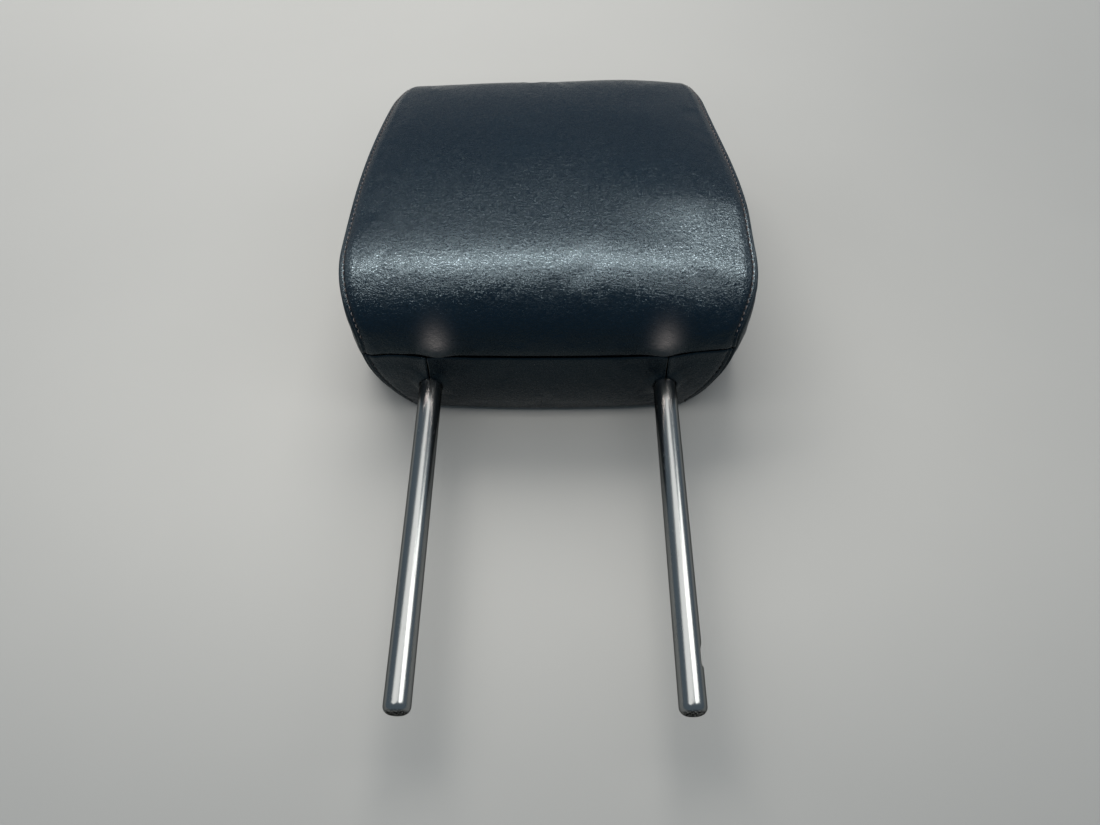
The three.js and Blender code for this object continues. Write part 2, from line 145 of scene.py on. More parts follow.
def bezier(start: Array, pull_start: Array, pull_end: Array, end: Array, count: int) -> Array:
    """Points on a cubic curve, without its last one.

    Args:
        start: its first point.
        pull_start: the control point next to it.
        pull_end: the control point next to the end.
        end: its last point.
        count: how many points.

    Returns:
        The four points weighted by the cubic Bernstein shares, one row for each place.
    """
    t = np.linspace(0.0, 1.0, count, endpoint=False)[:, None]
    return (1 - t) ** 3 * start + 3 * (1 - t) ** 2 * t * pull_start + 3 * (1 - t) * t**2 * pull_end + t**3 * end


def arc(centre: Array, radius: float, start: float, end: float, count: int) -> Array:
    """Points on an arc about a centre, from one angle to another, without its last one.

    Args:
        centre: the centre, in Y and Z.
        radius: the arc's radius.
        start: its first angle, in radians from +Y.
        end: its last angle.
        count: how many points.

    Returns:
        The centre plus the radius along each angle.
    """
    angle = np.linspace(start, end, count, endpoint=False)
    return centre + radius * np.stack([np.cos(angle), np.sin(angle)], axis=1)


def graded(*runs: tuple[float, float, float]) -> Array:
    """Places along a line, closer together where a shape needs it.

    Args:
        runs: for each run its start, its end and about how far apart its places lie.

    Returns:
        Each run cut into equal steps, one after the other, with the last end.
    """
    parts = [np.linspace(a, b, max(1, round((b - a) / step)), endpoint=False) for a, b, step in runs]
    return np.concatenate([*parts, [runs[-1][1]]])


def grid_normals(grid: Array, flip: bool = False) -> Array:
    """The way out of a surface at each point of its grid.

    Args:
        grid: points, rows along the first parameter and columns along the second.
        flip: whether the cross product points inwards.

    Returns:
        The cross product of the steps along columns and rows, at length one.
    """
    across = np.gradient(grid, axis=1)
    along = np.gradient(grid, axis=0)
    normal = unit(np.cross(across, along))
    return -normal if flip else normal


def grid_faces(rows: int, columns: int, closed_rows: bool = False, flip: bool = False) -> Array:
    """The quads of a grid whose vertices are numbered row by row.

    Args:
        rows: how many rows.
        columns: how many columns.
        closed_rows: whether the last row joins the first.
        flip: whether to turn each face round.

    Returns:
        Four vertex numbers for each quad, in rows minus one by columns minus one by four.
    """
    i = np.arange(rows if closed_rows else rows - 1)[:, None]
    j = np.arange(columns - 1)[None, :]
    ahead = (i + 1) % rows
    corners = [i * columns + j, i * columns + j + 1, ahead * columns + j + 1, ahead * columns + j]
    return np.stack(corners[::-1] if flip else corners, axis=-1)


def all_round(sides: int, up: Array, beside: Array) -> Array:
    """Directions all round a line.

    Args:
        sides: how many to each place.
        up: one way across the line at each place.
        beside: the way across it at a right angle to that.

    Returns:
        The cosine of each angle times up plus its sine times beside, places by sides by three.
    """
    angle = np.linspace(0.0, 2 * np.pi, sides, endpoint=False)
    return np.cos(angle)[None, :, None] * up[:, None, :] + np.sin(angle)[None, :, None] * beside[:, None, :]


def tube_faces(rings: int, sides: int, count: int = 1) -> list[list[int]]:
    """The faces of closed tubes whose vertices are numbered ring by ring and tube by tube.

    Args:
        rings: how many rings each tube has.
        sides: how many points a ring has.
        count: how many tubes.

    Returns:
        The quads between the rings, then the caps of the first rings and those of the last ones.
    """
    base = np.arange(count)[:, None, None] * rings * sides
    i = np.arange(rings - 1)[None, :, None] * sides
    j = np.arange(sides)[None, None, :]
    ahead = (j + 1) % sides
    quads = np.stack([base + i + j, base + i + ahead, base + i + sides + ahead, base + i + sides + j], axis=-1)
    first = base[:, 0] + np.arange(sides)[None, ::-1]
    last = base[:, 0] + (rings - 1) * sides + np.arange(sides)[None, :]
    return quads.reshape(-1, 4).tolist() + first.tolist() + last.tolist()


def make_piece(name: str, points: Array, faces: Array | list[list[int]],
               wear_and_highlight: Array | None = None) -> bpy.types.Object:
    """A smooth mesh object at the origin, with its place in its mesh.

    Args:
        name: the piece's name.
        points: its vertices, in the frame.
        faces: vertex numbers of each face, counter-clockwise from outside.
        wear_and_highlight: for each vertex how stretched and scuffed the surface is, from 0 to 1; it also places a
            painted highlight.

    Returns:
        The new object, linked to the scene.
    """
    mesh = bpy.data.meshes.new(name)
    mesh.from_pydata(points.reshape(-1, 3).tolist(), [], faces if isinstance(faces, list) else faces.tolist())
    mesh.polygons.foreach_set("use_smooth", np.ones(len(mesh.polygons), dtype=bool))
    if wear_and_highlight is not None:
        mesh.attributes.new("wear_and_highlight", "FLOAT", "POINT").data.foreach_set("value", wear_and_highlight.ravel())
    mesh.update()
    piece = bpy.data.objects.new(name, mesh)
    bpy.context.scene.collection.objects.link(piece)
    return piece


# The pad's form


@dataclass(frozen=True)
class Stations:
    """Places along the pad's outline, one row each."""

    point: Array  # on the outline, in Y and Z
    out: Array  # the way out of the pad there
    crown: Array  # how far the middle stands out over the seam's side
    drop: Array  # how far the edge rolls down to the seam
    seam: Array  # the seam, in Y and Z
    half: Array  # half the width at the seam


@dataclass(frozen=True)
class Push:
    """How far a place on the pad is moved: most in the middle of a bell, less and less over its width."""

    far: float
    middle: float
    width: float

    def at(self, place: Array) -> Array:
        """The move at these distances along the pad, or across it."""
        return self.far * bump(place - self.middle, self.width)


@dataclass(frozen=True)
class PadForm:
    """The pad's surface without its small relief. Distances along the pad start at its bottom face."""

    length: float = 0.256
    half_width: float = 0.1222
    widest_at: float = 0.068
    top_taper: float = 0.015
    taper_power: float = 1.7
    bottom_corner_length: float = 0.054
    bottom_corner_inset: float = 0.0667
    closure_corner_inset: float = 0.0197
    bottom_corner_power: float = 1.75
    corner_rise_power: float = 2.2
    top_corner_length: float = 0.044
    top_corner_inset: float = 0.018

    bulge_height: float = 0.104
    bulge_at: float = 0.062
    top_end_radius: float = 0.0315
    back_lift: float = 0.021
    back_flat_end: float = 0.112
    back_corner_radius: float = 0.008
    bottom_swell: float = 0.004
    front_slope: float = float(np.radians(18.0))
    back_slope: float = float(np.radians(18.0))
    front_pull: float = 0.070
    back_pull: float = 0.044
    bulge_pull: float = 0.050
    bulge_pull_down: float = 0.036
    lip_pull: float = 0.024
    lip_swell: float = 0.003
    swell_pull: float = 0.015

    edge_drop: float = 0.0052
    end_drop: float = 0.003
    front_crown: float = 0.007
    bottom_face_crown: float = 0.004
    crown_power: float = 2.2
    roll_start: float = 0.93
    roll_share: float = 0.9  # how much of a quarter round the edge rolls through
    side_swell: float = 0.0028
    side_swell_low: float = 0.0009
    side_swell_from: float = 0.046
    side_swell_power: float = 14.0
    side_middle_along: float = 0.45
    side_middle_up: float = 0.4

    lean_sides: Span = (0.055, 0.120)  # across the pad, from the middle out to where a side leans in full
    lean_front: Span = (0.030, 0.055)  # heights over which the moves by the closure come up
    lean_right: Push = Push(-0.0040, 0.155, 0.070)
    lean_right_low: Push = Push(0.0026, 0.006, 0.024)
    lean_left: Push = Push(0.0012, 0.160, 0.060)
    lean_left_low: Push = Push(-0.0012, 0.004, 0.022)
    top_push: Push = Push(0.0038, 0.060, 0.044)  # read across the pad
    top_push_from: Span = (0.165, 0.210)
    twist: Push = Push(0.0054, 0.045, 0.075)
    twist_right: Span = (0.035, 0.095)
    twist_left: Span = (0.085, 0.118)
    twist_left_share: float = 0.15
    twist_turn: Span = (0.016, 0.060)  # along the pad, where the twist turns over
    twist_below: float = 0.25  # its share below that, the other way
    twist_front: Span = (0.060, 0.085)  # heights over which it comes up

    closure_height: float = 0.059
    closure_gap: float = 0.0025
    closure_inset: float = 0.002

    softening: float = 0.0025  # the outline's corners are rounded over about this length
    softening_reach: int = 4  # and the average goes this many times as far
    line_step: float = 0.0005
    curve_points: int = 160

    @property
    def bottom_y(self) -> float:
        """Where the pad's bottom face lies in the frame, from the cover's own box."""
        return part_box("cover_centre_panel")[1].y - self.length

    def raw_outline(self) -> Array:
        """The outline from the side.

        Returns:
            Points in Y and Z: a curve from the front's lower edge to the bulge, a curve down to the top
            end, the top end's arc, a curve to the back's flat, the flat, the back corner's arc and the
            swelling bottom face, up to the flap's edge.
        """
        radius, corner, count = self.top_end_radius, self.back_corner_radius, self.curve_points
        top = np.array([self.length - radius, self.back_lift + radius])
        front_end = top + radius * np.array([np.sin(self.front_slope), np.cos(self.front_slope)])
        back_end = top + radius * np.array([np.sin(self.back_slope), -np.cos(self.back_slope)])
        down = np.array([np.cos(self.front_slope), -np.sin(self.front_slope)])
        up = np.array([np.cos(self.back_slope), np.sin(self.back_slope)])
        lip = np.array([self.closure_inset, self.closure_height + self.closure_gap / 2])
        lip_pull = np.array([self.closure_inset - self.lip_swell, self.closure_height + self.lip_pull])
        bulge = np.array([self.bulge_at, self.bulge_height])
        flat_end = np.array([self.back_flat_end, 0.0])
        flap_end = np.array([0.0, self.closure_height - self.closure_gap / 2])
        swell_low = np.array([-self.bottom_swell, corner + self.swell_pull])
        swell_high = np.array([-self.bottom_swell, flap_end[1] - self.swell_pull])
        return np.concatenate([
            bezier(lip, lip_pull, bulge - [self.bulge_pull_down, 0.0], bulge, count),
            bezier(bulge, bulge + [self.bulge_pull, 0.0], front_end - self.front_pull * down, front_end, count),
            arc(top, radius, np.pi / 2 - self.front_slope, self.back_slope - np.pi / 2, count),
            bezier(back_end, back_end - self.back_pull * up, flat_end + [self.back_pull, 0.0], flat_end, count),
            np.linspace(flat_end, [corner, 0.0], count, endpoint=False),
            arc(np.array([corner, corner]), corner, -np.pi / 2, -np.pi, count),
            bezier(np.array([0.0, corner]), swell_low, swell_high, flap_end, count),
            flap_end[None, :],
        ])

    def outline(self) -> tuple[Array, Array, Array]:
        """The outline at even steps, softened by a moving average with bell weights.

        Returns:
            The distance along it, its points and its direction at each step.
        """
        raw = self.raw_outline()
        run = run_length(raw)
        even = np.arange(0.0, run[-1], self.line_step)
        line = np.stack([np.interp(even, run, raw[:, k]) for k in range(2)], axis=1)
        reach = round(self.softening_reach * self.softening / self.line_step)
        weights = bell_weights(reach, self.line_step, self.softening * np.sqrt(2.0))
        before = 2 * line[0] - line[reach:0:-1]
        after = 2 * line[-1] - line[-2 : -reach - 2 : -1]
        padded = np.concatenate([before, line, after])
        soft = np.stack([np.convolve(padded[:, k], weights, "valid") for k in range(2)], axis=1)
        return run_length(soft), soft, unit(np.gradient(soft, axis=0))

    def half_width_at(self, y: Array, z: Array) -> Array:
        """Half the pad's width.

        Args:
            y: distance from the bottom face.
            z: height above the back.

        Returns:
            The widest half less a taper towards the top, less a rounded corner at each end. The bottom
            corner draws in more at the back than at the closure.
        """
        along = np.clip((y - self.widest_at) / (self.length - self.widest_at), 0.0, None)
        up = 1.0 - (1.0 - np.clip(z / self.closure_height, 0.0, 1.0)) ** self.corner_rise_power
        inset = self.bottom_corner_inset + (self.closure_corner_inset - self.bottom_corner_inset) * up
        bottom = np.clip(1.0 - y / self.bottom_corner_length, 0.0, 1.0)
        top = np.clip((y - self.length) / self.top_corner_length + 1.0, 0.0, 1.0)
        power = self.bottom_corner_power
        return (
            self.half_width
            - self.top_taper * along**self.taper_power
            - inset * (1.0 - (1.0 - bottom**power) ** (1.0 / power))
            - self.top_corner_inset * (1.0 - np.sqrt(1.0 - top**2))
        )

    def stations(self, s: Array) -> Stations:
        """Everything that the surface needs at some distances along the outline.

        Args:
            s: the distances, in metres from the front's lower edge.

        Returns:
            The outline's point and the way out of it. The crown is full on the bulge and gone at the
            closure, the edge's drop goes with the square of the way out, and the seam lies both below.
        """
        run, line, along = self.outline()
        point = np.stack([np.interp(s, run, line[:, k]) for k in range(2)], axis=1)
        way = unit(np.stack([np.interp(s, run, along[:, k]) for k in range(2)], axis=1))
        out = np.stack([-way[:, 1], way[:, 0]], axis=1)
        thick = np.clip((point[:, 1] - self.closure_height) / (self.bulge_height - self.closure_height), 0.0, 1.0)
        crown = self.front_crown * thick * np.clip(out[:, 1], 0.0, None)
        crown += self.bottom_face_crown * np.clip(-out[:, 0], 0.0, None)
        drop = self.edge_drop * out[:, 1] ** 2 + self.end_drop * out[:, 0] ** 2
        seam = point - out * (crown + drop)[:, None]
        return Stations(point, out, crown, drop, seam, self.half_width_at(seam[:, 0], seam[:, 1]))

    def panel(self, stations: Stations, share: Array) -> Array:
        """The centre panel's surface.

        Args:
            stations: its rows.
            share: the share of the half width at each point, rows by columns, from -1 to 1.

        Returns:
            Points: X is the share times the half width, and the outline's point sinks by the crown times a
            power of the share and, past roll_start, by a quarter round down to the seam.
        """
        size = np.abs(share)
        roll = np.clip((size - self.roll_start) / (1.0 - self.roll_start), 0.0, 1.0)
        sink = stations.crown[:, None] * size**self.crown_power
        most = 1.0 - np.sqrt(1.0 - self.roll_share**2)
        sink += stations.drop[:, None] * (1.0 - np.sqrt(1.0 - (self.roll_share * roll) ** 2)) / most
        place = stations.point[:, None, :] - stations.out[:, None, :] * sink[..., None]
        x = share * stations.half[:, None]
        return self.leaning(np.stack([x, place[..., 0] + self.bottom_y, place[..., 1]], axis=-1))

    def side(self, stations: Stations, ring: Array, side: Side) -> Array:
        """A side panel's surface.

        Args:
            stations: its rows, all round the seam.
            ring: 1 at the seam down to 0 at the panel's middle.
            side: which side.

        Returns:
            Points: the seam drawn towards the middle by the ring, and out sideways by a swell that is full
            soon after the seam and small at the bottom face.
        """
        middle = np.array([self.side_middle_along * self.length, self.side_middle_up * self.bulge_height])
        place = middle + (stations.seam[:, None, :] - middle) * ring[None, :, None]
        fullness = smooth_step(place[..., 0], 0.0, self.side_swell_from)
        swell = self.side_swell_low + (self.side_swell - self.side_swell_low) * fullness
        swell = swell * (1.0 - ring[None, :] ** self.side_swell_power)
        x = self.half_width_at(place[..., 0], place[..., 1]) + swell
        x[:, 0] = stations.half
        return self.leaning(np.stack([side.value * x, place[..., 0] + self.bottom_y, place[..., 1]], axis=-1))

    def leaning(self, points: Array) -> Array:
        """The pad pressed a little out of true: narrower at its upper right, fuller low down, and twisted.

        Args:
            points: places on the true form, in the frame.

        Returns:
            The points, moved by soft steps across the pad times bells along it.
        """
        x, y, z = points[..., 0], points[..., 1], points[..., 2]
        right, left = smooth_step(x, *self.lean_sides), smooth_step(-x, *self.lean_sides)
        front = smooth_step(z, *self.lean_front)
        aside = right * (self.lean_right.at(y) + front * self.lean_right_low.at(y))
        aside += left * (self.lean_left.at(y) + front * self.lean_left_low.at(y))
        ahead = self.top_push.at(x) * smooth_step(y, *self.top_push_from)
        twist = smooth_step(x, *self.twist_right) - self.twist_left_share * smooth_step(-x, *self.twist_left)
        turn = (1.0 + self.twist_below) * smooth_step(y, *self.twist_turn) - self.twist_below
        up = self.twist.at(y) * twist * turn * smooth_step(z, *self.twist_front)
        return points + np.stack([aside, ahead, up], axis=-1)


@dataclass(frozen=True)
class PostSizes:
    """The bent tube that makes both posts and the crossbar."""

    radius: float = 0.007
    x: float = 0.072
    height: float = 0.034
    exposed: float = 0.199
    tip_rounding: float = 0.004
    leg_bend_at: float = 0.040
    leg_bend_radius: float = 0.060
    crossbar_from_top: float = 0.106
    crossbar_rise: float = 0.030
    corner_radius: float = 0.030
    notch_from_tip: float = 0.027
    notch_length: float = 0.0066
    notch_depth: float = 0.0015
    notch_ramp: float = 0.006  # the notch's slope on the pad's side
    notch_wall: Span = (0.0006, 0.0002)  # the steep wall's foot, before and past the notch's end
    hole_clearance: float = 0.00015
    sides: int = 48
    bend_points: int = 20
    tip_rings: int = 8
    straight_step: float = 0.0011


@dataclass(frozen=True)
class Keyholes:
    """The two round holes for the posts and the slits from them up to the flap's edge."""

    x: float
    z: float
    radius: float
    slit: float = 0.00025  # half the slit at its narrow ends
    slit_open: float = 0.0003  # and how much more it gapes in the middle

    def half_opening(self, z: Array, top: float) -> Array:
        """Half the opening's width at a height.

        Args:
            z: heights on the flap.
            top: the flap's edge.

        Returns:
            The circle's half chord, or the slit's half width above it, whichever is wider.
        """
        chord = np.sqrt(np.clip(self.radius**2 - (z - self.z) ** 2, 0.0, None))
        up = np.clip((z - self.z) / (top - self.z), 0.0, 1.0)
        slit = np.where(z > self.z, self.slit + self.slit_open * np.sin(np.pi * up), 0.0)
        return np.maximum(chord, slit)

    def distance(self, x: Array, z: Array) -> Array:
        """How far a place on the flap is from the nearer opening's edge.

        Args:
            x: across the pad.
            z: heights on the flap.

        Returns:
            The distance to the circle, or to the slit above it, whichever is less, and 0 inside them.
        """
        across = np.abs(np.abs(x) - self.x)
        to_hole = np.hypot(across, z - self.z) - self.radius
        to_slit = np.where(z > self.z, across - self.slit, np.inf)
        return np.clip(np.minimum(to_hole, to_slit), 0.0, None)


# The leather cover


@dataclass
class Stuffing:
    """The leather drawn tight over its foam: a cloth simulation on a coarse closed copy of the cover.

    The copy starts a little inside the form, is held along its sewn lines and round the posts, and is blown
    up. What the simulation adds between those lines, less its broad part, is kept as a height over the form.
    """

    form: PadForm
    posts: PostSizes
    row_step: float = 0.005
    columns: int = 47
    rings: int = 16
    last_ring: float = 0.05  # by the side's middle
    start_inside: float = 0.0012
    quality: int = 6
    pressure: float = 4.0
    growth: float = 0.005  # how much larger the leather is cut than the form
    foam_hold: float = 0.10  # how firmly the foam keeps the leather in place, beside 1 at a seam
    post_hold_radius: float = 0.013
    post_hold_depth: float = 0.01  # behind the bottom face
    frames: int = 20
    broad: float = 0.030  # waves longer than this are left to the form
    broad_reach: int = 2  # and the average goes this many times as far
    most: float = 0.0005  # the furthest that the leather may move
    calm_middle: Span = (0.15, 0.60)  # rings between which a side's height comes up
    floor_fade: Span = (0.0005, 0.012)  # and heights: below them the back keeps the flat that it rests on

    def __post_init__(self) -> None:
        length = float(self.form.outline()[0][-1])
        self.rows = np.linspace(0.0, length, round(length / self.row_step))
        self.shares = np.linspace(-1.0, 1.0, self.columns)
        self.ring = np.linspace(1.0, self.last_ring, self.rings)
        self.stations = self.form.stations(self.rows)
        self.height = self.simulated()

    def grid(self) -> Array:
        """The form's surface from the left panel's middle over both seams to the right panel's middle.

        Returns:
            The left panel's rings, the centre panel's columns and the right panel's rings, row by row.
        """
        share = np.broadcast_to(self.shares, (len(self.rows), self.columns))
        left = self.form.side(self.stations, self.ring, Side.LEFT)[:, :0:-1]
        right = self.form.side(self.stations, self.ring, Side.RIGHT)[:, 1:]
        return np.concatenate([left, self.form.panel(self.stations, share), right], axis=1)

    def held(self, grid: Array) -> Array:
        """How firmly each point is held.

        Args:
            grid: the coarse surface.

        Returns:
            1 along the sewn lines and round the posts, and the foam's hold elsewhere.
        """
        weight = np.full(grid.shape[:2], self.foam_hold)
        weight[[0, -1]] = 1.0
        weight[:, [self.rings - 1, -self.rings]] = 1.0
        off_post = np.hypot(np.abs(grid[..., 0]) - self.posts.x, grid[..., 2] - self.posts.height)
        on_flap = grid[..., 1] < self.form.bottom_y + self.post_hold_depth
        weight[(off_post < self.post_hold_radius) & on_flap] = 1.0
        return weight

    def coarse_piece(self, points: Array) -> bpy.types.Object:
        """The closed copy of the whole cover.

        Args:
            points: the coarse surface, rows by columns.

        Returns:
            A mesh of the grid's quads, closed by a fan of triangles at each side's middle.
        """
        rows, columns = points.shape[:2]
        quads = grid_faces(rows, columns, closed_rows=True).reshape(-1, 4)
        first = np.arange(rows) * columns
        ahead = np.roll(first, -1)
        hub = rows * columns
        left = np.stack([np.full(rows, hub), first, ahead], axis=1)
        right = np.stack([first + columns - 1, np.full(rows, hub + 1), ahead + columns - 1], axis=1)
        middles = np.stack([points[:, 0].mean(axis=0), points[:, -1].mean(axis=0)])
        whole = np.concatenate([points.reshape(-1, 3), middles])
        return make_piece("cover_coarse", whole, quads.tolist() + left.tolist() + right.tolist())

    def blown_up(self, piece: bpy.types.Object, weight: Array) -> Array:
        """Runs the cloth on the coarse copy, takes its shape and removes it.

        Args:
            piece: the coarse copy.
            weight: how firmly each of its points is held.

        Returns:
            Its vertices after the last frame, without the two hubs.
        """
        group = piece.vertex_groups.new(name="held")
        for hold in (1.0, self.foam_hold):
            group.add(np.flatnonzero(weight.ravel() == hold).tolist(), hold, "REPLACE")
        cloth = piece.modifiers.new("filling", "CLOTH")
        cloth.settings.quality = self.quality
        cloth.settings.vertex_group_mass = group.name
        cloth.settings.use_pressure = True
        cloth.settings.uniform_pressure_force = self.pressure
        cloth.settings.shrink_min = -self.growth
        cloth.settings.effector_weights.gravity = 0.0
        cloth.point_cache.frame_start, cloth.point_cache.frame_end = 1, self.frames
        for step in range(1, self.frames + 1):
            bpy.context.scene.frame_set(step)
        shaped = piece.evaluated_get(bpy.context.evaluated_depsgraph_get()).data
        place = np.empty(3 * len(shaped.vertices))
        shaped.vertices.foreach_get("co", place)
        bpy.data.objects.remove(piece)
        bpy.context.scene.frame_set(1)
        return place.reshape(-1, 3)[: weight.size]

    def simulated(self) -> Array:
        """Runs the simulation and keeps the small part of what it adds.

        Returns:
            The height over the form at each coarse point: the move along the way out, less its broad part,
            held softly to the most by the hyperbolic tangent, and nothing where the leather is sewn.
        """
        grid = self.grid()
        out = grid_normals(grid)
        weight = self.held(grid)
        sunk = grid - out * (self.start_inside * (weight < 1.0))[..., None]
        place = self.blown_up(self.coarse_piece(sunk), weight).reshape(grid.shape)
        raised = np.sum((place - grid) * out, axis=-1) * (weight < 1.0)
        log.info("stuffing: moved %.2f to %.2f mm", 1000 * raised.min(), 1000 * raised.max())
        fine = raised - self.broad_part(raised)
        off_floor = smooth_step(grid[..., 2], *self.floor_fade)
        kept = self.most * np.tanh(fine / self.most) * (weight < 1.0) * off_floor
        log.info("stuffing: kept %.2f to %.2f mm", 1000 * kept.min(), 1000 * kept.max())
        return kept

    def broad_part(self, height: Array) -> Array:
        """The height's long waves.

        Args:
            height: a height at each coarse point.

        Returns:
            A moving average with bell weights along one axis, then along the other.
        """
        reach = round(self.broad_reach * self.broad / self.row_step)
        weights = bell_weights(reach, self.row_step, self.broad)
        for axis in (0, 1):
            wide = np.pad(height, [(reach, reach) if k == axis else (0, 0) for k in range(2)], mode="reflect")
            height = np.apply_along_axis(np.convolve, axis, wide, weights, "valid")
        return height

    def between(self, s: Array, height: Array) -> Array:
        """A coarse height's rows, read at other distances along the outline by linear steps."""
        return np.stack([np.interp(s, self.rows, height[:, k]) for k in range(height.shape[1])], axis=1)

    def centre(self, s: Array, share: Array) -> Array:
        """The height on the centre panel.

        Args:
            s: distances along the outline, one for each row.
            share: shares of the half width, rows by columns.

        Returns:
            The coarse height between its own rows and columns, by linear steps.
        """
        rows = self.between(s, self.height[:, self.rings - 1 : self.rings - 1 + self.columns])
        return np.stack([np.interp(share[k], self.shares, row) for k, row in enumerate(rows)])

    def side(self, s: Array, ring: Array, side: Side) -> Array:
        """The height on a side panel.

        Args:
            s: distances along the outline, one for each row.
            ring: 1 at the seam down to 0 at the middle.
            side: which side.

        Returns:
            The coarse height by linear steps, less and less towards the panel's middle.
        """
        columns = self.height[:, : self.rings] if side is Side.LEFT else self.height[:, : -self.rings - 1 : -1]
        rows = self.between(s, columns)
        height = np.stack([np.interp(ring, self.ring[::-1], row) for row in rows])
        return height * smooth_step(ring, *self.calm_middle)


@dataclass(frozen=True)
class Relief:
    """Small forms that stand out of the pad's surface or sink into it."""

    seam_valley: float = 0.0013
    seam_valley_width: float = 0.0010
    seam_ridge: float = 0.00075  # over the folded edge under the leather
    seam_ridge_at: float = 0.55  # share of the way from the seam to the stitches
    seam_ridge_width: float = 0.35
    stitch_from_seam: float = 0.0036
    stitch_groove: float = 0.00060
    stitch_groove_width: float = 0.0008
    hem_radius: float = 0.0007
    hem_reach: float = 0.0012  # how far each edge of the closure comes towards the other
    hem_out: float = 0.0016  # how far the front's lower edge comes out over the flap's
    hem_reach_length: float = 0.007
    hem_overlap: float = 0.7  # how much further they come, and lap, at the closure's ends
    hem_overlap_from: Span = (0.076, 0.090)
    closure_fall: float = 0.0022  # how far the closure's line falls at its left end
    closure_fall_from: Span = (0.092, 0.108)
    closure_rise: float = 0.0024  # and rises at its right end
    closure_rise_from: Span = (0.068, 0.104)
    closure_fade: float = 0.014
    post_bump: float = 0.0026
    post_bump_width: float = 0.0080
    post_bump_height: float = 0.0645
    post_bump_fade: Span = (0.035, 0.050)  # along the outline, up the front
    post_bumps: tuple[float, float] = (-0.0655, 0.0700)
    pucker: float = 0.0013  # how far the leather stands up along a hole's edge
    pucker_width: float = 0.0030
    pucker_fade: float = 0.006
    wear_and_highlight_over: float = 0.003  # how far over a bump's middle the stretching and the painted highlight are strongest
    wear_and_highlight_width: float = 0.0080
    wear_and_highlight_height: float = 0.0095
    wear_and_highlight_front: Span = (0.04, 0.06)  # along the outline, up the front
    wear_and_highlight_flap: Span = (0.03, 0.02)  # back from the flap's edge
    wear_and_highlight_flap_share: float = 0.4


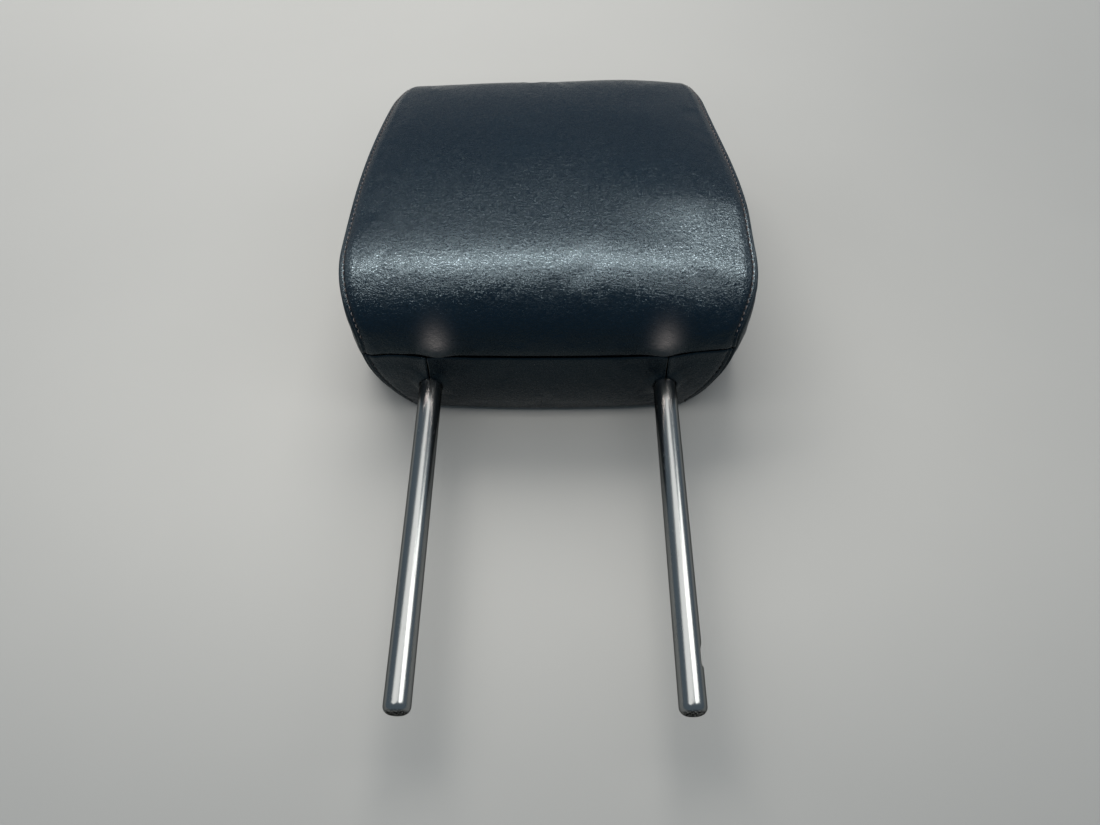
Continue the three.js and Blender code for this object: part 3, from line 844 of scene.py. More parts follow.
@dataclass
class Cover:
    """The leather cover: one centre panel over front, top end, back and flap, and a panel on each side."""

    form: PadForm
    keyholes: Keyholes
    stuffing: Stuffing
    relief: Relief = field(default_factory=Relief)
    thickness: float = 0.0022
    flap_length: float = 0.052  # of the outline's end, where the openings are
    flap_blend: float = 0.012
    row_step: float = 0.003
    flap_row_step: float = 0.0009
    front_row_step: float = 0.00117
    front_rows: float = 0.030  # of the outline's start, where the rows are close
    split: float = 0.70  # share of the half width where the openings part the columns
    split_span: Span = (0.60, 0.80)  # shares between which the columns are close
    split_step: float = 0.0085
    column_step: float = 0.022
    outer_step: float = 0.02
    seam_columns: int = 26
    seam_turn: float = 1.25  # how the seam's columns draw together, as a sine's last angle
    side_runs: tuple[tuple[float, float, float], ...] = (  # a side's rings from the seam in: start, end, step
        (0.0, 0.08, 0.006), (0.08, 0.30, 0.018), (0.30, 0.97, 0.04))
    fill: float = 0.95

    def __post_init__(self) -> None:
        """Works out the rows and the columns that all panels share."""
        self.length = float(self.form.outline()[0][-1])
        flap = self.length - self.flap_length - self.flap_blend
        self.rows = graded(
            (0.0, self.front_rows, self.front_row_step),
            (self.front_rows, flap, self.row_step),
            (flap, self.length, self.flap_row_step),
        )
        self.stations = self.form.stations(self.rows)
        turn = np.linspace(0.0, self.seam_turn, self.seam_columns)
        roll = self.form.roll_start + (1.0 - self.form.roll_start) * np.sin(turn) / np.sin(self.seam_turn)
        near, far = self.split_span
        right = np.concatenate([
            graded((0.0, near, self.column_step), (near, self.split, self.split_step)),
            graded((self.split, far, self.split_step), (far, self.form.roll_start, self.outer_step))[:-1],
            roll,
        ])
        self.shares = np.concatenate([-right[:0:-1], right])
        half = len(right)
        pair = int(np.flatnonzero(right == self.split)[0])
        self.pairs = [half - 2 - pair, half - 1 + pair]  # the first of the two equal columns on each side

    def share_grid(self) -> tuple[Array, Array]:
        """The share of the half width at each point of the centre panel.

        Returns:
            The shares, rows by columns, and which rows are cut. On the flap the columns are squeezed so
            that the pair at the split runs along both edges of the opening: towards the middle X is scaled
            to end at its inner edge, and towards the seam it is scaled from the outer edge on.
        """
        half = self.stations.half[:, None]
        z = self.stations.point[:, 1][:, None]
        flap = self.length - self.flap_length
        blend = smooth_step(self.rows, flap - self.flap_blend, flap)[:, None]
        opening = self.keyholes.half_opening(z, self.form.closure_height)
        opening = np.where(self.rows[:, None] > flap, opening, 0.0)
        natural = self.split * half
        x = np.abs(self.shares)[None, :] * half
        columns = np.arange(len(self.shares))
        inner = ((columns > self.pairs[0]) & (columns <= self.pairs[1]))[None, :]
        inside = x * (self.keyholes.x - opening) / natural
        outside = half - (half - x) * (half - self.keyholes.x - opening) / (half - natural)
        moved = np.where(inner, inside, outside)
        squeezed = np.sign(self.shares)[None, :] * (x + (moved - x) * blend) / half
        return squeezed, opening[:, 0] > 0.0

    def seam_distance(self, grid: Array) -> Array:
        """How far each point lies from the nearer side seam, along the surface and across the pad."""
        run = run_length(grid)
        return np.minimum(run, run[:, -1:] - run)

    def seam_valley(self, distance: Array) -> Array:
        """The height of the valley that the thread draws in at a seam: a bell, down."""
        return -self.relief.seam_valley * bump(distance, self.relief.seam_valley_width)

    def seam_relief(self, distance: Array) -> Array:
        """The height of the sewn edge.

        Args:
            distance: how far each point lies from the seam.

        Returns:
            A bell down at the seam, a bell up over the turned-in edge and a bell down under the stitches.
        """
        r = self.relief
        off_ridge = distance - r.seam_ridge_at * r.stitch_from_seam
        ridge = r.seam_ridge * bump(off_ridge, r.seam_ridge_width * r.stitch_from_seam)
        groove = -r.stitch_groove * bump(distance - r.stitch_from_seam, r.stitch_groove_width)
        return self.seam_valley(distance) + ridge + groove

    def hem_relief(self, distance: Array) -> Array:
        """The rounding of a turned edge.

        Args:
            distance: how far each point lies from the edge.

        Returns:
            A quarter circle's height less its radius: down at the edge and 0 from one radius on.
        """
        radius = self.relief.hem_radius
        inside = np.clip(radius - distance, 0.0, radius)
        return np.sqrt(radius**2 - inside**2) - radius

    def hem_shift(self, x: Array) -> Array:
        """How far each point moves, so that the closure's edges nearly meet and their line wanders a little.

        Args:
            x: across the pad, rows by columns.

        Returns:
            Moves up and down that bring both edges of the closure together, more so at its ends, with the
            line's own fall and rise, and a move that brings the front's lower edge out over the flap's.
        """
        r = self.relief
        front, flap = self.rows[:, None], self.length - self.rows[:, None]
        ends = 1.0 + r.hem_overlap * smooth_step(np.abs(x), *r.hem_overlap_from)
        reach = r.hem_reach * ends * (bump(flap, r.hem_reach_length) - bump(front, r.hem_reach_length))
        wander = r.closure_rise * smooth_step(x, *r.closure_rise_from)
        wander -= r.closure_fall * smooth_step(-x, *r.closure_fall_from)
        up = reach + wander * (bump(flap, r.closure_fade) + bump(front, r.closure_fade))
        return np.stack([0.0 * up, 0.0 * up - r.hem_out * bump(front, r.hem_reach_length), up], axis=-1)

    def centre_relief(self, grid: Array) -> Array:
        """The height of all small forms on the centre panel.

        Args:
            grid: the panel's surface.

        Returns:
            The sewn edges, both turned edges, a bell over each post and a bell along each opening's edge.
        """
        r, holes = self.relief, self.keyholes
        x, z = grid[..., 0], grid[..., 2]
        s = self.rows[:, None]
        height = self.seam_relief(self.seam_distance(grid))
        height += self.hem_relief(s) + self.hem_relief(self.length - s)
        front_low = 1.0 - smooth_step(s, *r.post_bump_fade)
        for middle in r.post_bumps:
            off_bump = np.hypot(x - middle, z - r.post_bump_height)
            height += r.post_bump * bump(off_bump, r.post_bump_width) * front_low
        flap = self.length - self.flap_length
        on_flap = smooth_step(s, flap, flap + r.pucker_fade)
        return height + r.pucker * bump(holes.distance(x, z), r.pucker_width) * on_flap

    def wear_and_highlight(self, grid: Array) -> Array:
        """How stretched the leather is, from 0 to 1; the same mask places a painted highlight over each post bump.

        Args:
            grid: the panel's surface.

        Returns:
            A bell over each post, across the pad and in height, on both sides of the closure.
        """
        r, s = self.relief, self.rows[:, None]
        up = grid[..., 2] - r.post_bump_height - r.wear_and_highlight_over
        on_front = 1.0 - smooth_step(s, *r.wear_and_highlight_front)
        on_flap = r.wear_and_highlight_flap_share * smooth_step(s, *(self.length - back for back in r.wear_and_highlight_flap))
        across = sum(bump(grid[..., 0] - middle, r.wear_and_highlight_width) for middle in r.post_bumps)
        return across * bump(up, r.wear_and_highlight_height) * (on_front + on_flap)

    def centre_panel(self) -> bpy.types.Object:
        """The centre panel with its relief, its openings and its thickness.

        Returns:
            The form moved out by the stuffing's height and by the relief. Each pair of equal columns is one
            column, apart from the rows where they run along both edges of an opening.
        """
        share, cut_rows = self.share_grid()
        grid = self.form.panel(self.stations, share)
        normal = self.panel_normals(grid)
        grid = grid + normal * self.stuffing.centre(self.rows, share)[..., None]
        relief = self.centre_relief(grid)
        normal = self.panel_normals(grid)
        points = grid + normal * relief[..., None]
        points += self.hem_shift(grid[..., 0])
        rows, columns = grid.shape[:2]
        number = np.arange(rows * columns).reshape(rows, columns)
        for first in self.pairs:
            number[~cut_rows, first + 1] = number[~cut_rows, first]
        cells = grid_faces(rows, columns)
        keep = np.ones(columns - 1, dtype=bool)
        keep[self.pairs] = False
        faces = number.ravel()[cells[:, keep].reshape(-1, 4)]
        used, faces = np.unique(faces, return_inverse=True)
        # the stretched places over the post bumps, which the leather's material also paints paler as a highlight
        wear_and_highlight = self.wear_and_highlight(grid).ravel()[used]
        piece = make_piece("cover_centre", points.reshape(-1, 3)[used], faces.reshape(-1, 4), wear_and_highlight)
        self.thicken(piece)
        return piece

    def panel_normals(self, grid: Array) -> Array:
        """The way out at each point, taken across the equal columns so that no step has no length.

        Args:
            grid: the centre panel's surface.

        Returns:
            The grid's normals without the second column of each pair, which then takes the first one's.
        """
        keep = np.ones(grid.shape[1], dtype=bool)
        keep[[first + 1 for first in self.pairs]] = False
        normal = grid_normals(grid[:, keep])
        whole = np.empty_like(grid)
        whole[:, keep] = normal
        for first in self.pairs:
            whole[:, first + 1] = whole[:, first]
        return whole

    def side_panel(self, side: Side) -> bpy.types.Object:
        """A side panel.

        Args:
            side: which side.

        Returns:
            The form moved out by the stuffing's height, with the seam's valley, closed by a fan of triangles.
        """
        ring = 1.0 - graded(*self.side_runs)
        grid = self.form.side(self.stations, ring, side)
        normal = grid_normals(grid, flip=side is Side.RIGHT)
        grid = grid + normal * self.stuffing.side(self.rows, ring, side)[..., None]
        points = grid + normal * self.seam_valley(run_length(grid))[..., None]
        rows, columns = grid.shape[:2]
        quads = grid_faces(rows, columns, closed_rows=True, flip=side is Side.LEFT).reshape(-1, 4)
        i = np.arange(rows)
        inner, ahead = i * columns + columns - 1, (i + 1) % rows * columns + columns - 1
        hub = np.full(rows, rows * columns)
        fan = np.stack([inner, hub, ahead] if side is Side.LEFT else [ahead, hub, inner], axis=1)
        middle = points[:, -1].mean(axis=0)[None, :]
        piece = make_piece(
            f"cover_{side.name.lower()}",
            np.concatenate([points.reshape(-1, 3), middle]),
            quads.tolist() + fan.tolist(),
        )
        self.thicken(piece)
        return piece

    def thicken(self, piece: bpy.types.Object) -> None:
        """Gives a panel the leather's thickness, inwards.

        Args:
            piece: the panel.
        """
        wall = piece.modifiers.new("leather", "SOLIDIFY")
        wall.thickness = self.thickness
        wall.offset = -1.0
        wall.use_rim = True

    def build(self, centre_finish: bpy.types.Material, side_finish: bpy.types.Material) -> list[bpy.types.Object]:
        """Makes and dresses all three panels.

        Args:
            centre_finish: the centre panel's material.
            side_finish: the side panels' material.

        Returns:
            The three panels.
        """
        centre = self.centre_panel()
        dress(centre, centre_finish, Slot.COVER, "cover_centre_panel")
        panels = [centre]
        for side in Side:
            panel = self.side_panel(side)
            dress(panel, side_finish, Slot.SIDE, f"cover_{side.name.lower()}_panel")
            panels.append(panel)
        return panels


@dataclass
class Topstitching:
    """The row of stitches inside each side seam of the centre panel."""

    cover: Cover
    pitch: float = 0.0042
    stitch: float = 0.0034
    thread: float = 0.00038
    sunk: float = 0.00022
    rings: int = 6
    sides: int = 6
    thinnest: float = 0.02  # the sine that a stitch's ends stop at
    margin: int = 2  # pitches left bare at both ends of a row
    search_columns: int = 60

    def line(self, side: Side, s: Array) -> tuple[Array, Array]:
        """Points on the stitch line.

        Args:
            side: which seam.
            s: distances along the outline.

        Returns:
            Points at a set distance from the seam, found along each row by linear steps, and the way out.
        """
        cover = self.cover
        stations = cover.form.stations(s)
        roll = np.linspace(1.0, cover.form.roll_start, self.search_columns)
        share = side.value * np.broadcast_to(roll, (len(s), len(roll)))
        grid = cover.form.panel(stations, share)
        raised = cover.stuffing.centre(s, share)
        grid = grid + grid_normals(grid, flip=side is Side.RIGHT) * raised[..., None]
        run = run_length(grid)
        target = cover.relief.stitch_from_seam
        before = np.clip((run < target).sum(axis=1) - 1, 0, len(roll) - 2)
        row = np.arange(len(s))
        span = run[row, before + 1] - run[row, before]
        part = ((target - run[row, before]) / span)[:, None]
        normal = grid_normals(grid, flip=side is Side.RIGHT)
        place = grid[row, before] * (1 - part) + grid[row, before + 1] * part
        return place, normal[row, before]

    def row(self, side: Side) -> bpy.types.Object:
        """One row of stitches.

        Each stitch is a short tube along the line. Its height over the leather rises and falls as a half
        sine, and its radius as the root of a sine, so that both ends dive into their holes.

        Args:
            side: which seam.

        Returns:
            All its stitches as one piece.
        """
        margin = self.margin * self.pitch
        starts = np.arange(margin, self.cover.length - margin, self.pitch)
        part = np.linspace(0.0, 1.0, self.rings)
        s = (starts[:, None] + part[None, :] * self.stitch).ravel()
        place, out = self.line(side, s)
        along = unit(np.gradient(place, axis=0))
        beside = unit(np.cross(along, out))
        arch = np.sin(np.pi * part)
        lift = np.tile((2.0 * arch - 1.0) * self.thread, len(starts)) - self.sunk
        radius = np.tile(self.thread * np.sqrt(np.clip(arch, self.thinnest, 1.0)), len(starts))
        ring = all_round(self.sides, out, beside)
        points = (place + out * lift[:, None])[:, None, :] + ring * radius[:, None, None]
        faces = tube_faces(self.rings, self.sides, len(starts))
        return make_piece(f"stitches_{side.name.lower()}", points, faces)

    def build(self, finish: bpy.types.Material) -> list[bpy.types.Object]:
        """Sews both seams.

        Args:
            finish: the thread's material.

        Returns:
            The two rows.
        """
        rows = [self.row(side) for side in Side]
        for row in rows:
            dress(row, finish, Slot.COVER)
        return rows


# The posts


@dataclass
class Posts:
    """The bent tube: two posts, the sloping legs and the crossbar, with a lock notch on the right post."""

    sizes: PostSizes
    form: PadForm

    def corners(self) -> Array:
        """The corners of the tube's centre line.

        Returns:
            Six corners: tip, the leg's bend and the crossbar's end on the left, and the same on the right.
        """
        z, base = self.sizes, self.form.bottom_y
        bar_y = base + self.form.length - z.crossbar_from_top
        left = [
            [-z.x, base - z.exposed + z.tip_rounding, z.height],
            [-z.x, base + z.leg_bend_at, z.height],
            [-z.x, bar_y, z.height + z.crossbar_rise],
        ]
        right = [[-x, y, height] for x, y, height in reversed(left)]
        return np.array(left + right)

    def straight(self, start: Array, end: Array) -> Array:
        """Even points on a straight run of one post, close together so that a notch can be cut there.

        Args:
            start: its first point.
            end: its last point, which is left out.

        Returns:
            Points about one straight step apart.
        """
        count = max(2, round(float(np.linalg.norm(end - start)) / self.sizes.straight_step))
        return np.linspace(start, end, count, endpoint=False)

    def centre_line(self) -> Array:
        """The tube's centre line.

        Returns:
            Straight runs, and between them bends: the three points weighted by the square shares, which
            touch both runs.
        """
        z = self.sizes
        corner = self.corners()
        radii = [z.leg_bend_radius, z.corner_radius, z.corner_radius, z.leg_bend_radius]
        parts, start = [], corner[0]
        for k, radius in enumerate(radii, start=1):
            back, ahead = unit(corner[k - 1] - corner[k]), unit(corner[k + 1] - corner[k])
            reach = radius / np.tan(np.arccos(np.clip(back @ ahead, -1.0, 1.0)) / 2)
            enter, leave = corner[k] + back * reach, corner[k] + ahead * reach
            parts.append(self.straight(start, enter))
            t = np.linspace(0.0, 1.0, z.bend_points, endpoint=False)[:, None]
            parts.append((1 - t) ** 2 * enter + 2 * (1 - t) * t * corner[k] + t**2 * leave)
            start = leave
        parts.append(self.straight(start, corner[-1]))
        return np.concatenate([*parts, corner[-1][None, :]])

    def tube(self) -> bpy.types.Object:
        """The whole tube.

        Returns:
            A circle carried along the centre line. At the tips its radius shrinks by a quarter round, down to
            the flat ends.
        """
        z = self.sizes
        line = self.centre_line()
        turn = np.linspace(0.0, np.pi / 2, z.tip_rings, endpoint=False)
        back = z.tip_rounding * np.cos(turn)
        tip = np.array([0.0, 1.0, 0.0])[None, :] * -back[:, None]
        line = np.concatenate([line[0] + tip, line, line[-1] + tip[::-1]])
        shrink = z.tip_rounding * (1.0 - np.sin(turn))
        middle = np.zeros(len(line) - 2 * len(turn))
        radius = z.radius - np.concatenate([shrink, middle, shrink[::-1]])
        along = unit(np.gradient(line, axis=0))
        slope = np.arctan2(z.crossbar_rise, self.form.length - z.crossbar_from_top - z.leg_bend_at)
        reference = np.array([0.0, -np.sin(slope), np.cos(slope)])
        up = unit(reference - (along @ reference)[:, None] * along)
        ring = all_round(z.sides, up, np.cross(along, up))
        points = self.notched(line[:, None, :] + ring * radius[:, None, None])
        return make_piece("posts", points, tube_faces(len(line), z.sides))

    def notched(self, points: Array) -> Array:
        """Cuts the lock notch: on the right post X stops at a wall that slopes in from the pad's side.

        Args:
            points: the tube's surface.

        Returns:
            The surface with X no further out than the wall.
        """
        z = self.sizes
        along = points[..., 1] - (self.form.bottom_y - z.exposed + z.notch_from_tip)
        half = z.notch_length / 2
        before, past = z.notch_wall
        inside = smooth_step(along, -half - before, -half + past)
        inside *= 1.0 - smooth_step(along, half, half + z.notch_ramp)
        wall = z.x + z.radius - z.notch_depth * inside
        cut = points.copy()
        on_post = points[..., 1] < self.form.bottom_y
        cut[..., 0] = np.where(on_post, np.minimum(points[..., 0], wall), points[..., 0])
        return cut

    def build(self, finish: bpy.types.Material) -> bpy.types.Object:
        """Makes and dresses the tube.

        Args:
            finish: the plating's material.

        Returns:
            The tube.
        """
        tube = self.tube()
        dress(tube, finish, Slot.CHROME, "post_tube")
        return tube


# Finishes


class Wiring:
    """Adds nodes to a tree and joins them, one call for each node."""

    def __init__(self, tree: bpy.types.NodeTree) -> None:
        """Keeps the tree that the nodes go into."""
        self.tree = tree

    def add(self, kind: str, inputs: dict[str | int, object] | None = None, **settings: object) -> bpy.types.Node:
        """A new node.

        Args:
            kind: Blender's name of the node's type.
            inputs: for each socket, by name or number, a plain value or the socket that feeds it.
            settings: the node's own options.

        Returns:
            The node.
        """
        node = self.tree.nodes.new(kind)
        for name, value in settings.items():
            setattr(node, name, value)
        self.feed(node, inputs or {})
        return node

    def feed(self, node: bpy.types.Node, inputs: dict[str | int, object]) -> None:
        """Feeds a node's sockets.

        Args:
            node: the node.
            inputs: for each socket, by name or number, a plain value or another socket.
        """
        for name, value in inputs.items():
            if isinstance(value, bpy.types.NodeSocket):
                self.tree.links.new(value, node.inputs[name])
            else:
                node.inputs[name].default_value = value

    def effect(self, group: bpy.types.NodeTree, place: Socket, **values: float) -> bpy.types.Node:
        """A shared effect at a place, with this material's own values."""
        return self.add("ShaderNodeGroup", {"Vector": place, **values}, node_tree=group)

    def relief(self, height: Socket, depth: float, **under: Socket) -> Socket:
        """The normal of a Bump node with this height and depth, over another normal if one is given."""
        return self.add("ShaderNodeBump", {"Height": height, "Distance": depth, **under}).outputs[0]

    def math(self, operation: str, *values: float | Socket) -> Socket:
        """The result of a Math node with these values or sockets."""
        return self.add("ShaderNodeMath", dict(enumerate(values)), operation=operation).outputs[0]

    def fit(self, value: Socket, low: float | Socket, high: float | Socket, to_low: float = 0.0,
            to_high: float = 1.0) -> Socket:
        """A value mapped softly from one range to another.

        Args:
            value: what is mapped.
            low: up to here the result is to_low.
            high: from here on it is to_high.
            to_low: the result's first end.
            to_high: its other end.

        Returns:
            The value carried over by a soft step.
        """
        inputs = {"Value": value, "From Min": low, "From Max": high, "To Min": to_low, "To Max": to_high}
        return self.add("ShaderNodeMapRange", inputs, interpolation_type="SMOOTHSTEP").outputs["Result"]

    def blend(self, share: Socket | float, first: object, second: object) -> Socket:
        """One colour mixed into another by a share."""
        return self.add("ShaderNodeMix", {0: share, 6: first, 7: second}, data_type="RGBA").outputs[2]

    def noise(self, place: Socket, scale: float | Socket, detail: float = 3.0, roughness: float = 0.55) -> Socket:
        """Soft noise at a place, from 0 to 1."""
        inputs = {"Vector": place, "Scale": scale, "Detail": detail, "Roughness": roughness}
        return self.add("ShaderNodeTexNoise", inputs).outputs["Fac"]

    def vector(self, operation: str, first: Socket, inputs: dict[str | int, object]) -> Socket:
        """The result of a Vector Math node on this vector and the inputs."""
        return self.add("ShaderNodeVectorMath", {0: first, **inputs}, operation=operation).outputs[0]

    def stretch(self, place: Socket, scale: tuple[float, float, float]) -> Socket:
        """A place scaled along each axis."""
        return self.add("ShaderNodeMapping", {"Vector": place, "Scale": scale}).outputs[0]


def node_group(name: str, inputs: dict[str, float | None], outputs: tuple[str, ...],
               fill: Callable[[Wiring, dict[str, Socket]], dict[str, Socket]]) -> bpy.types.NodeTree:
    """A shader node group with named sockets.

    Args:
        name: the group's name.
        inputs: each input's name and its usual value, or None for a vector.
        outputs: the names of the values that it puts out.
        fill: adds the nodes, given the inputs' sockets, and returns the outputs' sources.

    Returns:
        The finished group.
    """
    tree = bpy.data.node_groups.new(name, "ShaderNodeTree")
    for label, value in inputs.items():
        kind = "NodeSocketVector" if value is None else "NodeSocketFloat"
        socket = tree.interface.new_socket(name=label, in_out="INPUT", socket_type=kind)
        if value is not None:
            socket.default_value = value
    for label in outputs:
        tree.interface.new_socket(name=label, in_out="OUTPUT", socket_type="NodeSocketFloat")
    wiring = Wiring(tree)
    source = tree.nodes.new("NodeGroupInput")
    found = fill(wiring, {label: source.outputs[label] for label in inputs})
    sink = tree.nodes.new("NodeGroupOutput")
    for label, socket in found.items():
        tree.links.new(socket, sink.inputs[label])
    return tree


class Effects:
    """The shared effects, each built once."""

    SWIRL_SCALE = 420.0
    TILT_SCALE = 0.62  # beside the cells' scale
    CREASE_DEPTH = 0.20  # beside the tilt's height
    COARSE_SHARE, FINE_SHARE = 0.8, 0.2
    FINE_SCALE = 9.0  # beside the coarse patches' scale
    FOLD_STRETCH = (1.0, 0.18, 0.18)
    SCUFF_STRETCH = (1.0, 0.06, 1.0)
    SCUFF_SCALE = 22.0  # beside the scuffed patches' scale
    SCUFF_PEAKS, PATCH_PEAKS = (0.5, 0.75), (0.45, 0.7)

    def __init__(self) -> None:
        """Builds every group."""
        self.grain = node_group(
            "leather_grain", {"Vector": None, "Scale": 900.0, "Crease": 0.20, "Swirl": 0.0006},
            ("Height", "Crease", "Cell"), self.fill_grain)
        self.streaks = node_group("streaks", {"Vector": None, "Scale": 90.0}, ("Height",), self.fill_streaks)
        self.wear = node_group(
            "wear", {"Vector": None, "Scale": 12.0, "Least": 0.45, "Most": 0.7}, ("Mask",),
            self.fill_wear)
        self.scuffs = node_group(
            "scuffs", {"Vector": None, "Scale": 60.0, "Amount": 0.5}, ("Mask", "Height"),
            self.fill_scuffs)

    def fill_grain(self, w: Wiring, given: dict[str, Socket]) -> dict[str, Socket]:
        """Flat pebbles parted by creases: cells of a swirled Voronoi pattern, each tilted by a wider noise."""
        noise = w.add("ShaderNodeTexNoise", {"Vector": given["Vector"], "Scale": self.SWIRL_SCALE, "Detail": 1.0})
        centred = w.vector("SUBTRACT", noise.outputs["Color"], {1: (0.5, 0.5, 0.5)})
        shift = w.vector("SCALE", centred, {"Scale": given["Swirl"]})
        place = w.vector("ADD", given["Vector"], {1: shift})
        edges = w.add("ShaderNodeTexVoronoi", {"Vector": place, "Scale": given["Scale"]}, feature="DISTANCE_TO_EDGE")
        crease = w.math("SUBTRACT", 1.0, w.fit(edges.outputs["Distance"], 0.0, given["Crease"]))
        cells = w.add("ShaderNodeTexVoronoi", {"Vector": place, "Scale": given["Scale"]})
        cell = w.add("ShaderNodeSeparateColor", {0: cells.outputs["Color"]}).outputs[0]
        tilt = w.noise(place, w.math("MULTIPLY", given["Scale"], self.TILT_SCALE), 1.5)
        height = w.math("SUBTRACT", tilt, w.math("MULTIPLY", crease, self.CREASE_DEPTH))
        return {"Height": height, "Crease": crease, "Cell": cell}

    def fill_wear(self, w: Wiring, given: dict[str, Socket]) -> dict[str, Socket]:
        """Patches where hands and hair have rubbed: coarse noise broken up by finer noise."""
        coarse = w.noise(given["Vector"], given["Scale"], 2.0)
        fine = w.noise(given["Vector"], w.math("MULTIPLY", given["Scale"], self.FINE_SCALE), 3.0)
        both = w.math("ADD", w.math("MULTIPLY", coarse, self.COARSE_SHARE), w.math("MULTIPLY", fine, self.FINE_SHARE))
        span = w.math("SUBTRACT", given["Most"], given["Least"])
        share = w.math("DIVIDE", w.math("SUBTRACT", both, given["Least"]), span)
        return {"Mask": w.fit(share, 0.0, 1.0)}

    def fill_streaks(self, w: Wiring, given: dict[str, Socket]) -> dict[str, Socket]:
        """Soft folds that run along the pad: noise drawn out along Y and Z."""
        drawn = w.stretch(given["Vector"], self.FOLD_STRETCH)
        return {"Height": w.noise(drawn, given["Scale"], 3.0, 0.6)}

    def fill_scuffs(self, w: Wiring, given: dict[str, Socket]) -> dict[str, Socket]:
        """Long fine marks: noise drawn out along Y, kept where it peaks."""
        drawn = w.stretch(given["Vector"], self.SCUFF_STRETCH)
        lines = w.noise(drawn, w.math("MULTIPLY", given["Scale"], self.SCUFF_SCALE), 2.0)
        patches = w.noise(given["Vector"], given["Scale"], 3.0)
        both = w.math("MULTIPLY", w.fit(lines, *self.SCUFF_PEAKS), w.fit(patches, *self.PATCH_PEAKS))
        return {"Mask": w.math("MULTIPLY", both, given["Amount"]), "Height": lines}


EFFECTS = Effects()


def new_material(name: str) -> tuple[bpy.types.Material, Wiring, bpy.types.Node, Socket]:
    """A material with an empty Principled shader.

    Args:
        name: the material's name.

    Returns:
        The material, its wiring, the shader and the Object coordinates.
    """
    material = bpy.data.materials.new(name)
    material.use_nodes = True
    material.node_tree.nodes.clear()
    wiring = Wiring(material.node_tree)
    shader = wiring.add("ShaderNodeBsdfPrincipled")
    wiring.add("ShaderNodeOutputMaterial", {"Surface": shader.outputs[0]})
    place = wiring.add("ShaderNodeTexCoord").outputs["Object"]
    return material, wiring, shader, place


@dataclass(frozen=True)
class Leather:
    """Grained leather: pebbles, creases darkened by painted shade, patches rubbed smoother, and paler places where it
    is stretched, whose pale colour is a painted highlight.
    """

    name: str
    colour: Colour = (0.0003, 0.0022, 0.0056, 1.0)
    # painted shade: the base colour is darker in the grain's creases
    crease_shade_colour: Colour = (0.0002, 0.0010, 0.0024, 1.0)
    rubbed_colour: Colour = (0.0012, 0.0040, 0.0080, 1.0)
    # paler grey over the post bumps: a painted highlight, on leather that is also stretched there
    wear_and_highlight_colour: Colour = (0.062, 0.062, 0.062, 1.0)
    roughness: float = 0.14
    rubbed_roughness: float = 0.10
    worn_roughness: float = 0.50
    crease_roughness: float = 0.14  # how much rougher a crease is
    cell_roughness: float = 0.14  # and the roughest pebble
    sheen_tint: Colour = (0.58, 0.86, 1.0, 1.0)
    ior: float = 1.41
    grain_scale: float = 840.0
    grain_depth: float = 0.00028
    fold_scale: float = 70.0
    fold_depth: float = 0.0004
    swirl: float = 0.0007
    wear_scale: float = 14.0

    def build(self) -> bpy.types.Material:
        """Wires the finish.

        Returns:
            The material.
        """
        material, w, shader, place = new_material(self.name)
        grain = w.effect(EFFECTS.grain, place, Scale=self.grain_scale, Swirl=self.swirl).outputs
        rubbed = w.effect(EFFECTS.wear, place, Scale=self.wear_scale).outputs["Mask"]
        streaks = w.effect(EFFECTS.streaks, place, Scale=self.fold_scale).outputs["Height"]
        # the stretched places over the post bumps: their roughness is wear, their pale colour a painted highlight
        wear_and_highlight = w.add("ShaderNodeAttribute", attribute_name="wear_and_highlight").outputs["Fac"]
        tint = w.blend(rubbed, self.colour, self.rubbed_colour)
        # painted shade in the grain's creases
        tint = w.blend(grain["Crease"], tint, self.crease_shade_colour)
        rough = w.fit(rubbed, 0.0, 1.0, self.roughness, self.rubbed_roughness)
        for mask, more in (
            (grain["Crease"], self.crease_roughness),
            (grain["Cell"], self.cell_roughness),
            (wear_and_highlight, self.worn_roughness - self.roughness),
        ):
            rough = w.math("ADD", rough, w.math("MULTIPLY", mask, more))
        folds = w.relief(streaks, self.fold_depth)
        w.feed(shader, {
            "Base Color": w.blend(wear_and_highlight, tint, self.wear_and_highlight_colour),
            "Roughness": rough,
            "IOR": self.ior,
            "Specular Tint": self.sheen_tint,
            "Normal": w.relief(grain["Height"], self.grain_depth, Normal=folds),
        })
        return material


